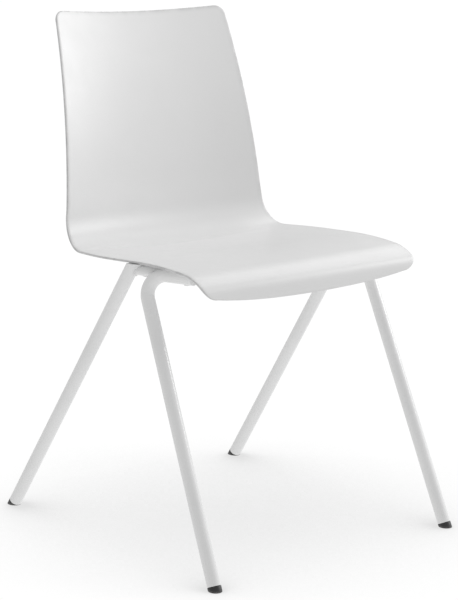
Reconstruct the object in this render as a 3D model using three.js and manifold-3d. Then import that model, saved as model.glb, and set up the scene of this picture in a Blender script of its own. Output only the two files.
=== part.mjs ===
// Four-leg stacking chair: a one-piece plastic shell screwed to a welded steel tube frame.
// Millimetres, +Z up. The chair faces -Y and +X is the sitter's left. The floor is z = 0.
import * as THREE from 'three';
import { mergeVertices } from 'three/addons/utils/BufferGeometryUtils.js';
import Module from 'manifold-3d';

const wasm = await Module();
wasm.setup();

// ---------------------------------------------------------------- driving dimensions

const FIT_GAP = 0.3; // left between pieces that touch or are welded together
const OVERCUT = 1; // how far a cutting solid runs on past the face that it opens

// Frame tubes
const LEG_TUBE = 22; // outer diameter
const BRACE_TUBE = 18; // outer diameter of the side rails, the cross tube and the hoop
const TUBE_WALL = 1.5;
const LEG_BEND_RADIUS = 30; // centre line
const HOOP_BEND_RADIUS = 45; // centre line

// Stance: where the legs meet the floor, and where their lines meet their rails' lines
const FOOT_HALF_WIDTH = 248.2;
const FRONT_FOOT_Y = -283.6;
const REAR_FOOT_Y = 282.4;
const LEG_TOP_HALF_WIDTH = 230.6;
const FRONT_LEG_TOP_Y = -78.2;
const REAR_LEG_TOP_Y = -48.4;
const FRONT_RAIL_TOE_IN = 25; // degrees
const SIDE_RAIL_TOE_IN = 34; // degrees
const RAIL_FALL = 0.035; // drop towards the front for each unit of length
const FRONT_RAIL_END_MARGIN = 0.35; // cross tube to the rail's square end
const CROSS_TUBE_Y = -147;
const CROSS_TUBE_DROP = 1.5; // cross tube axis below the ends of the rails' axes

// Hoop that carries the back half of the seat
const HOOP_START_Y = -70;
const HOOP_CORNER_HALF_WIDTH = 128;
const HOOP_REAR_Y = 58;
const HOOP_FALL = 11; // from the rails to the crossing

// Shell: side profile at its edges
const SEAT_HEIGHT = 477.8; // top of the seat's side edge at the front of its flat run
const SEAT_FRONT_Y = -60;
const SEAT_RUN = 165;
const SEAT_SLOPE = 2.4; // degrees, falling to the back
const SEAT_BEND_RADIUS = 50;
const BACK_LENGTH = 347;
const BACK_RADIUS = 1160;
const BACK_START_RECLINE = 3.4; // degrees from upright, just above the bend
const CROWN_RADIUS = 806;
const CROWN_TURN = 8.2; // degrees
const NOSE_RADIUS = 92;
const NOSE_TURN = 27; // degrees
const LIP_RADIUS = 23;
const LIP_TURN = 108; // degrees
const SHELL_WALL = 3.6;

// Shell: across its width
const BACK_TOP_HALF_WIDTH = 179;
const BACK_LOW_HALF_WIDTH = 211;
const SEAT_BACK_HALF_WIDTH = 238;
const SEAT_FRONT_HALF_WIDTH = 222.5;
const NARROWING_LEAD = 105; // the seat starts to narrow this far in front of the bend
const NARROWING_TAIL = 20; // and has the back's width this far above it
const TOP_CORNER_RADIUS = 18;
const LIP_CORNER_RADIUS = 27;
const LIP_SIDE_CUT = 16; // the lip's edge is this much shorter at its sides
const BACK_HOLLOW_RADIUS = 790;
const HOLLOW_LEAD = 40; // the back's hollow starts this far in front of the bend
const HOLLOW_TAIL = 60; // and is full this far above it
const SEAT_DISH = 6;

// Seat fixings
const FRONT_MOUNT_HALF_SPACING = 95;
const REAR_MOUNT_HALF_SPACING = 80;
const MOUNT_REACH = 23; // hole to tube axis
const PLATE_WIDTH = 34;
const PLATE_THICKNESS = 4;
const BOSS_DIAMETER = 18;
const INSERT_DIAMETER = 9;
const INSERT_LENGTH = 7;
const SCREW_DIAMETER = 6;
const SCREW_HEAD_DIAMETER = 11;
const SCREW_HEAD_HEIGHT = 4;
const SCREW_HEAD_CROWN = 0.7; // width of the head's flat end, as a share of its diameter
const SCREW_SOCKET = 4; // across flats
const SCREW_SOCKET_DEPTH = 2.5;
const WASHER_DIAMETER = 14;
const WASHER_THICKNESS = 1.4;
const HOLE_CLEARANCE = 0.35; // on the radius

// Glides, rail plugs and stacking pads
const FRONT_GLIDE_LENGTH = 7.6; // from the tube's square end to the floor, along the axis
const REAR_GLIDE_LENGTH = 9.3;
const GLIDE_STEM = 22;
const STEM_CHAMFER = 2;
const PLUG_FLANGE = 2;
const PLUG_STEM = 14;
const LEG_CAP_DEPTH = 12; // below the point where a rear leg's axis meets the rails' height
const PAD_THICKNESS = 3;
const PAD_LENGTH = 26;
const PAD_WRAP = 200; // degrees around the underside of the tube
const FRONT_PAD_HALF_SPACING = 132;
const REAR_PAD_HALF_SPACING = 35;

// Facets
const TUBE_SIDES = 16;
const ROUND_SIDES = 16;
const BEND_STEPS = 6;
const SHELL_COLUMNS = 16;
const LIP_CORNER_ROWS = 6;
const LIP_ROWS = 3;
const NOSE_ROWS = 3;
const CROWN_ROWS = 3;
const SEAT_ROWS = 5;
const SEAT_BEND_ROWS = 8;
const BACK_ROWS = 7;
const TOP_CORNER_ROWS = 4;

const SIDES = { left: 1, right: -1 };
const rad = THREE.MathUtils.degToRad;

// ---------------------------------------------------------------- materials

function finish(color, roughness, metalness) {
  return new THREE.MeshStandardMaterial({ color, roughness, metalness });
}

const shellPlastic = finish(0xe9eae8, 0.5, 0);
const powderCoat = finish(0xe6e7e6, 0.4, 0);
const blackPlastic = finish(0x202122, 0.45, 0);
const zincSteel = finish(0xb9bdc0, 0.3, 1);
const brass = finish(0xc39a4e, 0.35, 1);

const chair = new THREE.Group();

function addPart(name, geometry, material) {
  const mesh = new THREE.Mesh(geometry, material);
  mesh.name = name;
  chair.add(mesh);
  return mesh;
}

// ---------------------------------------------------------------- solids

function toSolid(geometry) {
  const bare = geometry.clone();
  bare.deleteAttribute('normal');
  bare.deleteAttribute('uv');
  const merged = mergeVertices(bare);
  return new wasm.Manifold(new wasm.Mesh({
    numProp: 3,
    vertProperties: new Float32Array(merged.attributes.position.array),
    triVerts: new Uint32Array(merged.index.array),
  }));
}

function toGeometry(solid) {
  const mesh = solid.getMesh();
  const geometry = new THREE.BufferGeometry();
  geometry.setAttribute('position', new THREE.BufferAttribute(mesh.vertProperties, 3));
  geometry.setIndex(new THREE.BufferAttribute(mesh.triVerts, 1));
  geometry.computeVertexNormals();
  return geometry;
}

function cutAway(geometry, tools) {
  const solid = tools.reduce((body, tool) => body.subtract(toSolid(tool)), toSolid(geometry));
  return toGeometry(solid);
}

function ringShape(outerRadius, innerRadius) {
  const shape = new THREE.Shape();
  shape.absarc(0, 0, outerRadius, 0, 2 * Math.PI, false);
  if (innerRadius > 0) {
    const bore = new THREE.Path();
    bore.absarc(0, 0, innerRadius, 0, 2 * Math.PI, true);
    shape.holes.push(bore);
  }
  return shape;
}

// An upright ring or disc with its lower face at z = 0.
function ring(outerDiameter, innerDiameter, height) {
  return new THREE.ExtrudeGeometry(ringShape(outerDiameter / 2, innerDiameter / 2), {
    depth: height,
    bevelEnabled: false,
    curveSegments: ROUND_SIDES / 2,
  });
}

// Turns a solid of revolution about +Z so that it stands at `origin` along `direction`.
function aim(geometry, origin, direction) {
  const turn = new THREE.Quaternion().setFromUnitVectors(new THREE.Vector3(0, 0, 1), direction);
  return geometry.applyQuaternion(turn).translate(origin.x, origin.y, origin.z);
}

// A solid of revolution about +Z from a profile of [radius, height] corners, axis to axis.
function turned(profile) {
  const points = profile.map(([radius, height]) => new THREE.Vector2(radius, height));
  return new THREE.LatheGeometry(points, TUBE_SIDES).rotateX(Math.PI / 2);
}

// ---------------------------------------------------------------- bent tubes

// A path of straight runs joined by round bends. Its parameter steps from station to
// station, so the straight runs take one step each and the bends take BEND_STEPS.
class BentPath extends THREE.Curve {
  constructor(corners, bendRadius = 0) {
    super();
    this.stations = [];
    const headings = corners.slice(1).map((corner, i) => corner.clone().sub(corners[i]).normalize());
    this.addStation(corners[0], headings[0]);
    for (let i = 1; i < corners.length - 1; i += 1) {
      this.addBend(corners[i], headings[i - 1], headings[i], bendRadius);
    }
    this.addStation(corners[corners.length - 1], headings[headings.length - 1]);
  }

  addStation(point, tangent) {
    this.stations.push({ point: point.clone(), tangent: tangent.clone() });
  }

  addBend(corner, before, after, radius) {
    const turn = before.angleTo(after);
    const setback = radius * Math.tan(turn / 2);
    const start = corner.clone().addScaledVector(before, -setback);
    const inward = after.clone().addScaledVector(before, -before.dot(after)).normalize();
    const centre = start.clone().addScaledVector(inward, radius);
    for (let step = 0; step <= BEND_STEPS; step += 1) {
      const angle = (turn * step) / BEND_STEPS;
      const point = centre.clone()
        .addScaledVector(inward, -radius * Math.cos(angle))
        .addScaledVector(before, radius * Math.sin(angle));
      const tangent = before.clone().multiplyScalar(Math.cos(angle))
        .addScaledVector(inward, Math.sin(angle));
      this.addStation(point, tangent);
    }
  }

  get steps() {
    return this.stations.length - 1;
  }

  at(u, key) {
    const place = u * this.steps;
    const index = Math.min(Math.floor(place), this.steps - 1);
    const here = this.stations[index][key];
    return here.clone().lerp(this.stations[index + 1][key], place - index);
  }

  getPointAt(u) {
    return this.at(u, 'point');
  }

  getTangentAt(u) {
    return this.at(u, 'tangent').normalize();
  }
}

function sweep(path, shape) {
  return new THREE.ExtrudeGeometry(shape, {
    steps: path.steps,
    extrudePath: path,
    bevelEnabled: false,
    curveSegments: TUBE_SIDES / 2,
  });
}

function tube(path, diameter) {
  return sweep(path, ringShape(diameter / 2, diameter / 2 - TUBE_WALL));
}

// The room that a tube takes from its neighbours: its outline and the fitting gap, filled in.
function clearanceRod(path, diameter) {
  return sweep(path, ringShape(diameter / 2 + FIT_GAP, 0));
}

// ---------------------------------------------------------------- shell

// Side profile as a chain of arcs that starts at the front of the seat's flat run.
// Positive distances run back along the seat and up the back, negative ones run over the lip.
// Each link has a length and the angle through which it turns upwards (back) or down (lip).
const arcLink = (radius, turn) => ({ length: radius * rad(Math.abs(turn)), turn: rad(turn) });
const BACK_LINKS = [
  { length: SEAT_RUN, turn: 0 },
  arcLink(SEAT_BEND_RADIUS, 90 + SEAT_SLOPE - BACK_START_RECLINE),
  { length: BACK_LENGTH, turn: -BACK_LENGTH / BACK_RADIUS },
];
const LIP_LINKS = [
  arcLink(CROWN_RADIUS, -CROWN_TURN),
  arcLink(NOSE_RADIUS, -NOSE_TURN),
  arcLink(LIP_RADIUS, -LIP_TURN),
];
const chainLength = (links) => links.reduce((sum, link) => sum + link.length, 0);
const BACK_REACH = chainLength(BACK_LINKS);
const LIP_REACH = chainLength(LIP_LINKS);
const BEND_START = SEAT_RUN;
const BEND_END = chainLength(BACK_LINKS.slice(0, 2));
const CROWN_END = -chainLength(LIP_LINKS.slice(0, 1));
const NOSE_END = -chainLength(LIP_LINKS.slice(0, 2));

// Walks a chain for `distance` from the reference point. `sense` is +1 towards the back.
// Returns the point in the side view and the unit normal of the upper face.
function walk(links, distance, sense) {
  let heading = -sense * rad(SEAT_SLOPE);
  let y = SEAT_FRONT_Y;
  let z = SEAT_HEIGHT;
  let left = distance;
  for (const link of links) {
    const length = Math.min(left, link.length);
    const turn = (link.turn * length) / link.length;
    const chord = Math.abs(turn) < 1e-9 ? length : (2 * length * Math.sin(turn / 2)) / turn;
    y += sense * chord * Math.cos(heading + turn / 2);
    z += chord * Math.sin(heading + turn / 2);
    heading += turn;
    left -= length;
  }
  return { y, z, normalY: -sense * Math.sin(heading), normalZ: Math.cos(heading) };
}

function profileAt(s) {
  return s >= 0 ? walk(BACK_LINKS, s, 1) : walk(LIP_LINKS, -s, -1);
}

// Half the width of the shell before its corners are rounded.
function halfWidthAt(s) {
  const up = THREE.MathUtils.clamp((s - BEND_END) / BACK_LENGTH, 0, 1);
  const back = THREE.MathUtils.lerp(BACK_LOW_HALF_WIDTH, BACK_TOP_HALF_WIDTH, up);
  const along = (s + LIP_REACH) / (SEAT_RUN + LIP_REACH);
  const seat = THREE.MathUtils.lerp(SEAT_FRONT_HALF_WIDTH, SEAT_BACK_HALF_WIDTH, along);
  const from = BEND_START - NARROWING_LEAD;
  const narrowed = THREE.MathUtils.smoothstep(s, from, BEND_END + NARROWING_TAIL);
  return THREE.MathUtils.lerp(seat, back, narrowed);
}

// How far the upper face lies behind its edges, at `across` from -1 to 1.
function hollowAt(s, across) {
  const onBack = THREE.MathUtils.smoothstep(s, BEND_START - HOLLOW_LEAD, BEND_END + HOLLOW_TAIL);
  const onSeat = THREE.MathUtils.smoothstep(s, -LIP_REACH, SEAT_RUN / 3) * (1 - onBack);
  const flat = 1 - across * across;
  const back = (halfWidthAt(s) ** 2 / (2 * BACK_HOLLOW_RADIUS)) * flat;
  return onBack * back + onSeat * SEAT_DISH * flat * flat;
}

// Point of the shell at `across` from -1 to 1, distance `s` and `depth` below the upper face.
function shellPoint(across, s, depth, halfWidth) {
  const side = profileAt(s);
  const inset = hollowAt(s, (across * halfWidth) / halfWidthAt(s)) + depth;
  return new THREE.Vector3(
    across * halfWidth,
    side.y - side.normalY * inset,
    side.z - side.normalZ * inset,
  );
}

// Distances of the shell's rows, closer together where it bends and at its corners.
function shellRows() {
  const rows = [];
  const addRun = (from, to, count) => {
    for (let i = 0; i < count; i += 1) {
      rows.push(THREE.MathUtils.lerp(from, to, i / count));
    }
  };
  const lipCorner = -LIP_REACH + LIP_CORNER_RADIUS;
  const topCorner = BACK_REACH - TOP_CORNER_RADIUS;
  for (let i = 0; i < LIP_CORNER_ROWS; i += 1) {
    const angle = ((i / LIP_CORNER_ROWS) * Math.PI) / 2;
    rows.push(lipCorner - LIP_CORNER_RADIUS * Math.cos(angle));
  }
  addRun(lipCorner, NOSE_END, LIP_ROWS);
  addRun(NOSE_END, CROWN_END, NOSE_ROWS);
  addRun(CROWN_END, 0, CROWN_ROWS);
  addRun(0, BEND_START, SEAT_ROWS);
  addRun(BEND_START, BEND_END, SEAT_BEND_ROWS);
  addRun(BEND_END, topCorner, BACK_ROWS);
  for (let i = 0; i <= TOP_CORNER_ROWS; i += 1) {
    const angle = ((i / TOP_CORNER_ROWS) * Math.PI) / 2;
    rows.push(topCorner + TOP_CORNER_RADIUS * Math.sin(angle));
  }
  return rows;
}

// Half width of one row, drawn in where a rounded corner takes some of it.
function rowHalfWidth(s) {
  const cornerCut = (radius, distance) => {
    const inside = Math.max(0, radius - distance);
    return radius - Math.sqrt(radius * radius - inside * inside);
  };
  const top = cornerCut(TOP_CORNER_RADIUS, BACK_REACH - s);
  const lip = cornerCut(LIP_CORNER_RADIUS, s + LIP_REACH);
  return halfWidthAt(s) - top - lip;
}

// Rows near the lip's edge are drawn back at their sides, so the edge bows forward.
function bowedDistance(s, across) {
  const nearLip = THREE.MathUtils.smoothstep(-s, 0, LIP_REACH);
  return s + LIP_SIDE_CUT * nearLip * across * across;
}

// The shell is a thin box bent to shape: its length, width and depth follow the surface.
function shellSheet() {
  const rows = shellRows();
  const box = new THREE.BoxGeometry(2, 1, 1, SHELL_COLUMNS, rows.length - 1, 1);
  const position = box.attributes.position;
  for (let i = 0; i < position.count; i += 1) {
    const across = position.getX(i);
    const row = rows[Math.round((position.getY(i) + 0.5) * (rows.length - 1))];
    const depth = (0.5 - position.getZ(i)) * SHELL_WALL;
    const point = shellPoint(across, bowedDistance(row, across), depth, rowHalfWidth(row));
    position.setXYZ(i, point.x, point.y, point.z);
  }
  return box;
}

// Height of the seat's underside over a point. The distance along the profile is closed in on.
function undersideAt(x, y) {
  let s = y - SEAT_FRONT_Y;
  let point;
  for (let pass = 0; pass < 4; pass += 1) {
    point = shellPoint(x / halfWidthAt(s), s, SHELL_WALL, halfWidthAt(s));
    s += y - point.y;
  }
  return point.z;
}

// ---------------------------------------------------------------- frame layout

// Heights of the rails' axes: the tubes just clear the edge of the seat above their bends.
const seatEdgeAt = (y) => SEAT_HEIGHT - (y - SEAT_FRONT_Y) * Math.tan(rad(SEAT_SLOPE));
const railHeightAt = (y, diameter) => seatEdgeAt(y) - SHELL_WALL - FIT_GAP - diameter / 2;

function railHeading(side, toeIn) {
  return new THREE.Vector3(-side * Math.sin(rad(toeIn)), -Math.cos(rad(toeIn)), -RAIL_FALL);
}

// Where a leg's axis meets the height of the rails, and the lower end of its tube.
function legTop(side, topY) {
  return new THREE.Vector3(side * LEG_TOP_HALF_WIDTH, topY, railHeightAt(topY, LEG_TUBE));
}

function legTubeEnd(side, footY, topY, glideLength) {
  const floorPoint = new THREE.Vector3(side * FOOT_HALF_WIDTH, footY, 0);
  const up = legTop(side, topY).sub(floorPoint).normalize();
  return floorPoint.addScaledVector(up, glideLength);
}

const alongRail = (start, heading, y) => start.clone()
  .addScaledVector(heading, (y - start.y) / heading.y);

// A front rail is cut square where even the nearer side of its end is past the cross tube.
const FRONT_RAIL_END_Y = CROSS_TUBE_Y - BRACE_TUBE / 2
  - (LEG_TUBE / 2) * Math.sin(rad(FRONT_RAIL_TOE_IN)) - FRONT_RAIL_END_MARGIN;

// A front leg rises to its bend and runs forward under the seat as its own rail.
function frontLegPath(side) {
  const top = legTop(side, FRONT_LEG_TOP_Y);
  const railEnd = alongRail(top, railHeading(side, FRONT_RAIL_TOE_IN), FRONT_RAIL_END_Y);
  const tubeEnd = legTubeEnd(side, FRONT_FOOT_Y, FRONT_LEG_TOP_Y, FRONT_GLIDE_LENGTH);
  return new BentPath([tubeEnd, top, railEnd], LEG_BEND_RADIUS);
}

// A rear leg is straight. It runs on past the rails' height, and the seat's plane cuts it.
function rearLegPath(side) {
  const top = legTop(side, REAR_LEG_TOP_Y);
  const tubeEnd = legTubeEnd(side, REAR_FOOT_Y, REAR_LEG_TOP_Y, REAR_GLIDE_LENGTH);
  const up = top.clone().sub(tubeEnd).normalize();
  return new BentPath([tubeEnd, top.addScaledVector(up, 2 * LEG_TUBE)]);
}

// A side rail runs from the rear leg's top, past the inside of the front bend, to the cross tube.
function sideRailPath(side) {
  const start = legTop(side, REAR_LEG_TOP_Y);
  start.z = railHeightAt(REAR_LEG_TOP_Y, BRACE_TUBE);
  const railEnd = alongRail(start, railHeading(side, SIDE_RAIL_TOE_IN), CROSS_TUBE_Y);
  return new BentPath([start, railEnd]);
}

const pathEnd = (path) => path.stations[path.steps];
const railPointAt = (path, y) => alongRail(pathEnd(path).point, pathEnd(path).tangent, y);

const CROSS_TUBE_Z = pathEnd(sideRailPath(1)).point.z - CROSS_TUBE_DROP;

function crossTubePath() {
  const reach = railPointAt(frontLegPath(1), CROSS_TUBE_Y).x;
  return new BentPath([
    new THREE.Vector3(-reach, CROSS_TUBE_Y, CROSS_TUBE_Z),
    new THREE.Vector3(reach, CROSS_TUBE_Y, CROSS_TUBE_Z),
  ]);
}

function hoopPath() {
  const ends = [SIDES.right, SIDES.left].map((side) => railPointAt(sideRailPath(side), HOOP_START_Y));
  const crossingZ = ends[0].z - HOOP_FALL;
  return new BentPath([
    ends[0],
    new THREE.Vector3(-HOOP_CORNER_HALF_WIDTH, HOOP_REAR_Y, crossingZ),
    new THREE.Vector3(HOOP_CORNER_HALF_WIDTH, HOOP_REAR_Y, crossingZ),
    ends[1],
  ], HOOP_BEND_RADIUS);
}

const HOOP_CROSSING_Z = hoopPath().stations[1 + BEND_STEPS].point.z;

// The four points where the shell is screwed down: two in front and two behind.
const MOUNTS = ['front', 'rear'].flatMap((end) => Object.entries(SIDES).map(([hand, side]) => {
  const front = end === 'front';
  const tubeY = front ? CROSS_TUBE_Y : HOOP_REAR_Y;
  const inward = front ? 1 : -1;
  return {
    name: `${end}_${hand}`,
    x: side * (front ? FRONT_MOUNT_HALF_SPACING : REAR_MOUNT_HALF_SPACING),
    y: tubeY + inward * MOUNT_REACH,
    inward,
    tubeY,
    plateTop: (front ? CROSS_TUBE_Z : HOOP_CROSSING_Z) + PLATE_THICKNESS / 2,
    tubePath: front ? crossTubePath() : hoopPath(),
  };
}));

// ---------------------------------------------------------------- pieces

function seatShell() {
  let solid = toSolid(shellSheet());
  for (const mount of MOUNTS) {
    const foot = mount.plateTop + FIT_GAP;
    const height = undersideAt(mount.x, mount.y) + SHELL_WALL / 2 - foot;
    const boss = ring(BOSS_DIAMETER, 0, height).translate(mount.x, mount.y, foot);
    solid = solid.add(toSolid(boss));
  }
  for (const mount of MOUNTS) {
    const bore = ring(INSERT_DIAMETER + 2 * FIT_GAP, 0, INSERT_LENGTH + 2 * FIT_GAP + OVERCUT)
      .translate(mount.x, mount.y, mount.plateTop + FIT_GAP - OVERCUT);
    solid = solid.subtract(toSolid(bore));
  }
  return toGeometry(solid);
}

// A flat lug with a round end and a screw hole, coped to the side of its tube.
function mountPlate(mount) {
  const radius = PLATE_WIDTH / 2;
  const outline = new THREE.Shape();
  outline.moveTo(-radius, -MOUNT_REACH);
  outline.lineTo(radius, -MOUNT_REACH);
  outline.lineTo(radius, 0);
  outline.absarc(0, 0, radius, 0, Math.PI, false);
  const hole = new THREE.Path();
  hole.absarc(0, 0, SCREW_DIAMETER / 2 + HOLE_CLEARANCE, 0, 2 * Math.PI, true);
  outline.holes.push(hole);
  const plate = new THREE.ExtrudeGeometry(outline, {
    depth: PLATE_THICKNESS,
    bevelEnabled: false,
    curveSegments: ROUND_SIDES / 2,
  });
  if (mount.inward < 0) plate.rotateZ(Math.PI);
  plate.translate(mount.x, mount.y, mount.plateTop - PLATE_THICKNESS);
  return cutAway(plate, [clearanceRod(mount.tubePath, BRACE_TUBE)]);
}

// A cap screw from below: shank up into the insert, round head with a hexagon socket.
function mountScrew(mount) {
  const headTop = -PLATE_THICKNESS - WASHER_THICKNESS - 2 * FIT_GAP;
  const shankTop = FIT_GAP + INSERT_LENGTH;
  const headRadius = SCREW_HEAD_DIAMETER / 2;
  const body = turned([
    [0, headTop - SCREW_HEAD_HEIGHT],
    [headRadius * SCREW_HEAD_CROWN, headTop - SCREW_HEAD_HEIGHT],
    [headRadius, headTop - SCREW_HEAD_HEIGHT / 2],
    [headRadius, headTop],
    [SCREW_DIAMETER / 2, headTop],
    [SCREW_DIAMETER / 2, shankTop],
    [0, shankTop],
  ]);
  const corner = SCREW_SOCKET / Math.sqrt(3);
  const socket = new THREE.CylinderGeometry(corner, corner, 2 * SCREW_SOCKET_DEPTH, 6)
    .rotateX(Math.PI / 2)
    .translate(0, 0, headTop - SCREW_HEAD_HEIGHT);
  return cutAway(body, [socket]).translate(mount.x, mount.y, mount.plateTop);
}

function mountWasher(mount) {
  return ring(WASHER_DIAMETER, SCREW_DIAMETER + 2 * HOLE_CLEARANCE, WASHER_THICKNESS)
    .translate(mount.x, mount.y, mount.plateTop - PLATE_THICKNESS - FIT_GAP - WASHER_THICKNESS);
}

function threadedInsert(mount) {
  return ring(INSERT_DIAMETER, SCREW_DIAMETER + 2 * FIT_GAP, INSERT_LENGTH)
    .translate(mount.x, mount.y, mount.plateTop + FIT_GAP);
}

function frontLeg(side) {
  return tube(frontLegPath(side), LEG_TUBE);
}

// The room above a rear leg: over a plane parallel to the seat, and within reach of the shell.
function roomAboveRearLeg(side) {
  const size = 6 * LEG_TUBE;
  const seatPlane = new THREE.BoxGeometry(size, size, size)
    .translate(0, 0, size / 2 + LEG_TUBE / 2)
    .rotateX(-rad(SEAT_SLOPE))
    .translate(side * LEG_TOP_HALF_WIDTH, REAR_LEG_TOP_Y, railHeightAt(REAR_LEG_TOP_Y, LEG_TUBE));
  return [seatPlane, shellSheet().translate(0, 0, -FIT_GAP)];
}

function rearLeg(side) {
  return cutAway(tube(rearLegPath(side), LEG_TUBE), roomAboveRearLeg(side));
}

// Plastic cap that closes a rear leg's upper end, cut level with it.
function rearLegCap(side) {
  const radius = LEG_TUBE / 2 - TUBE_WALL - FIT_GAP;
  const body = turned([
    [0, -LEG_CAP_DEPTH],
    [radius, -LEG_CAP_DEPTH],
    [radius, 2 * LEG_TUBE],
    [0, 2 * LEG_TUBE],
  ]);
  const heading = pathEnd(rearLegPath(side)).tangent;
  return cutAway(aim(body, legTop(side, REAR_LEG_TOP_Y), heading), roomAboveRearLeg(side));
}

// A side rail is coped to the rear leg at its back and to the cross tube at its front.
function sideRail(side) {
  const neighbours = [
    clearanceRod(rearLegPath(side), LEG_TUBE),
    clearanceRod(crossTubePath(), BRACE_TUBE),
  ];
  return middleOf(cutAway(tube(sideRailPath(side), BRACE_TUBE), neighbours));
}

function frontCrossTube() {
  const rails = Object.values(SIDES).map((side) => clearanceRod(frontLegPath(side), LEG_TUBE));
  return middleOf(cutAway(tube(crossTubePath(), BRACE_TUBE), rails));
}

function rearSeatHoop() {
  const rails = Object.values(SIDES).map((side) => clearanceRod(sideRailPath(side), BRACE_TUBE));
  return middleOf(cutAway(tube(hoopPath(), BRACE_TUBE), rails));
}

// The largest of the bodies that a cut leaves, without the slivers beyond the cut.
function middleOf(geometry) {
  const bodies = toSolid(geometry).decompose();
  bodies.sort((a, b) => b.volume() - a.volume());
  return toGeometry(bodies[0]);
}

// Plastic foot: a stem in the bore, and a collar that the floor cuts flat.
function glide(path, glideLength) {
  const collar = LEG_TUBE / 2;
  const stem = collar - TUBE_WALL - FIT_GAP;
  const body = turned([
    [0, -glideLength - LEG_TUBE],
    [collar, -glideLength - LEG_TUBE],
    [collar, -FIT_GAP],
    [stem, -FIT_GAP],
    [stem, GLIDE_STEM - STEM_CHAMFER],
    [stem - STEM_CHAMFER, GLIDE_STEM],
    [0, GLIDE_STEM],
  ]);
  const end = path.stations[0];
  const placed = aim(body, end.point, end.tangent);
  const ground = new THREE.BoxGeometry(4 * LEG_TUBE, 4 * LEG_TUBE, 4 * LEG_TUBE)
    .translate(end.point.x, end.point.y, -2 * LEG_TUBE);
  return cutAway(placed, [ground]);
}

// Plastic plug that closes the open front end of a front rail.
function railPlug(side) {
  const flange = LEG_TUBE / 2;
  const stem = flange - TUBE_WALL - FIT_GAP;
  const body = turned([
    [0, -PLUG_STEM],
    [stem, -PLUG_STEM],
    [stem, FIT_GAP],
    [flange, FIT_GAP],
    [flange, FIT_GAP + PLUG_FLANGE / 2],
    [flange - PLUG_FLANGE / 2, FIT_GAP + PLUG_FLANGE],
    [0, FIT_GAP + PLUG_FLANGE],
  ]);
  const end = pathEnd(frontLegPath(side));
  return aim(body, end.point, end.tangent);
}

// Saddle under a tube that runs across the chair. It spares the seat of the chair below.
function stackingPad(x, tubeY, tubeZ) {
  const inner = BRACE_TUBE / 2 + FIT_GAP;
  const outer = inner + PAD_THICKNESS;
  const start = -rad(90 + PAD_WRAP / 2);
  const end = rad(PAD_WRAP / 2 - 90);
  const section = new THREE.Shape();
  section.absarc(0, 0, outer, start, end, false);
  section.absarc(0, 0, inner, end, start, true);
  const options = { depth: PAD_LENGTH, bevelEnabled: false, curveSegments: ROUND_SIDES / 2 };
  return new THREE.ExtrudeGeometry(section, options)
    .translate(0, 0, -PAD_LENGTH / 2)
    .rotateX(Math.PI / 2)
    .rotateZ(Math.PI / 2)
    .translate(x, tubeY, tubeZ);
}

// ---------------------------------------------------------------- assembly

addPart('seat_shell', seatShell(), shellPlastic);
addPart('front_cross_tube', frontCrossTube(), powderCoat);
addPart('rear_seat_hoop', rearSeatHoop(), powderCoat);

for (const [hand, side] of Object.entries(SIDES)) {
  addPart(`front_${hand}_leg`, frontLeg(side), powderCoat);
  addPart(`rear_${hand}_leg`, rearLeg(side), powderCoat);
  addPart(`${hand}_side_rail`, sideRail(side), powderCoat);
  addPart(`front_${hand}_glide`, glide(frontLegPath(side), FRONT_GLIDE_LENGTH), blackPlastic);
  addPart(`rear_${hand}_glide`, glide(rearLegPath(side), REAR_GLIDE_LENGTH), blackPlastic);
  addPart(`front_${hand}_rail_plug`, railPlug(side), shellPlastic);
  addPart(`rear_${hand}_leg_cap`, rearLegCap(side), shellPlastic);
  addPart(
    `front_${hand}_stacking_pad`,
    stackingPad(side * FRONT_PAD_HALF_SPACING, CROSS_TUBE_Y, CROSS_TUBE_Z),
    blackPlastic,
  );
  addPart(
    `rear_${hand}_stacking_pad`,
    stackingPad(side * REAR_PAD_HALF_SPACING, HOOP_REAR_Y, HOOP_CROSSING_Z),
    blackPlastic,
  );
}

for (const mount of MOUNTS) {
  addPart(`${mount.name}_mount_plate`, mountPlate(mount), powderCoat);
  addPart(`${mount.name}_insert`, threadedInsert(mount), brass);
  addPart(`${mount.name}_screw`, mountScrew(mount), zincSteel);
  addPart(`${mount.name}_washer`, mountWasher(mount), zincSteel);
}

export default chair;
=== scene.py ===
"""Stacking chair: a moulded plastic shell on a welded frame of round steel tube.

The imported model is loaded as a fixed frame. Each sub-assembly below builds fine surfaces over
its nodes, in metres and in the same place: +Z is up, the chair faces -Y and stands on z = 0.
"""

import logging
import math
from dataclasses import dataclass, field
from enum import Enum

import bpy
import numpy as np
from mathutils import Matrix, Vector


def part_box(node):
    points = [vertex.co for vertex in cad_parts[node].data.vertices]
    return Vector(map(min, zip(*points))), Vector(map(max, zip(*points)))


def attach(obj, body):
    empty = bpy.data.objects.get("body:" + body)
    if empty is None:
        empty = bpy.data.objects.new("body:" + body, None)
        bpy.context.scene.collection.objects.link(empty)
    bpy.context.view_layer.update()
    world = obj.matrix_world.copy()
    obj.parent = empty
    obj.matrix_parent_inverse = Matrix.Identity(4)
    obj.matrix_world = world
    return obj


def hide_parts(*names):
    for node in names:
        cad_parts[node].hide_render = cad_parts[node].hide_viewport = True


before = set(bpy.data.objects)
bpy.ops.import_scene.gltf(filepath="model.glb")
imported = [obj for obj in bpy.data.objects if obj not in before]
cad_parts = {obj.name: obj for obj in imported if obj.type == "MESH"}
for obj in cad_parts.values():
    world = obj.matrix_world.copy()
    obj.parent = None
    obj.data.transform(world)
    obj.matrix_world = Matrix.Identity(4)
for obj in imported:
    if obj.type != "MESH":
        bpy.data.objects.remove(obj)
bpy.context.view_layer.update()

LOG = logging.getLogger("stacking_chair")
BODY = "root"
WEAR_AND_SHADE = "wear"  # name of the mesh attribute that marks rubbed places, and painted shade along the shell's rim, from 0 to 1
Array = np.ndarray
TURN = 2 * math.pi
SIDES = 48  # points on a circle of a tube
UP = np.array([0.0, 0.0, 1.0])
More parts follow.
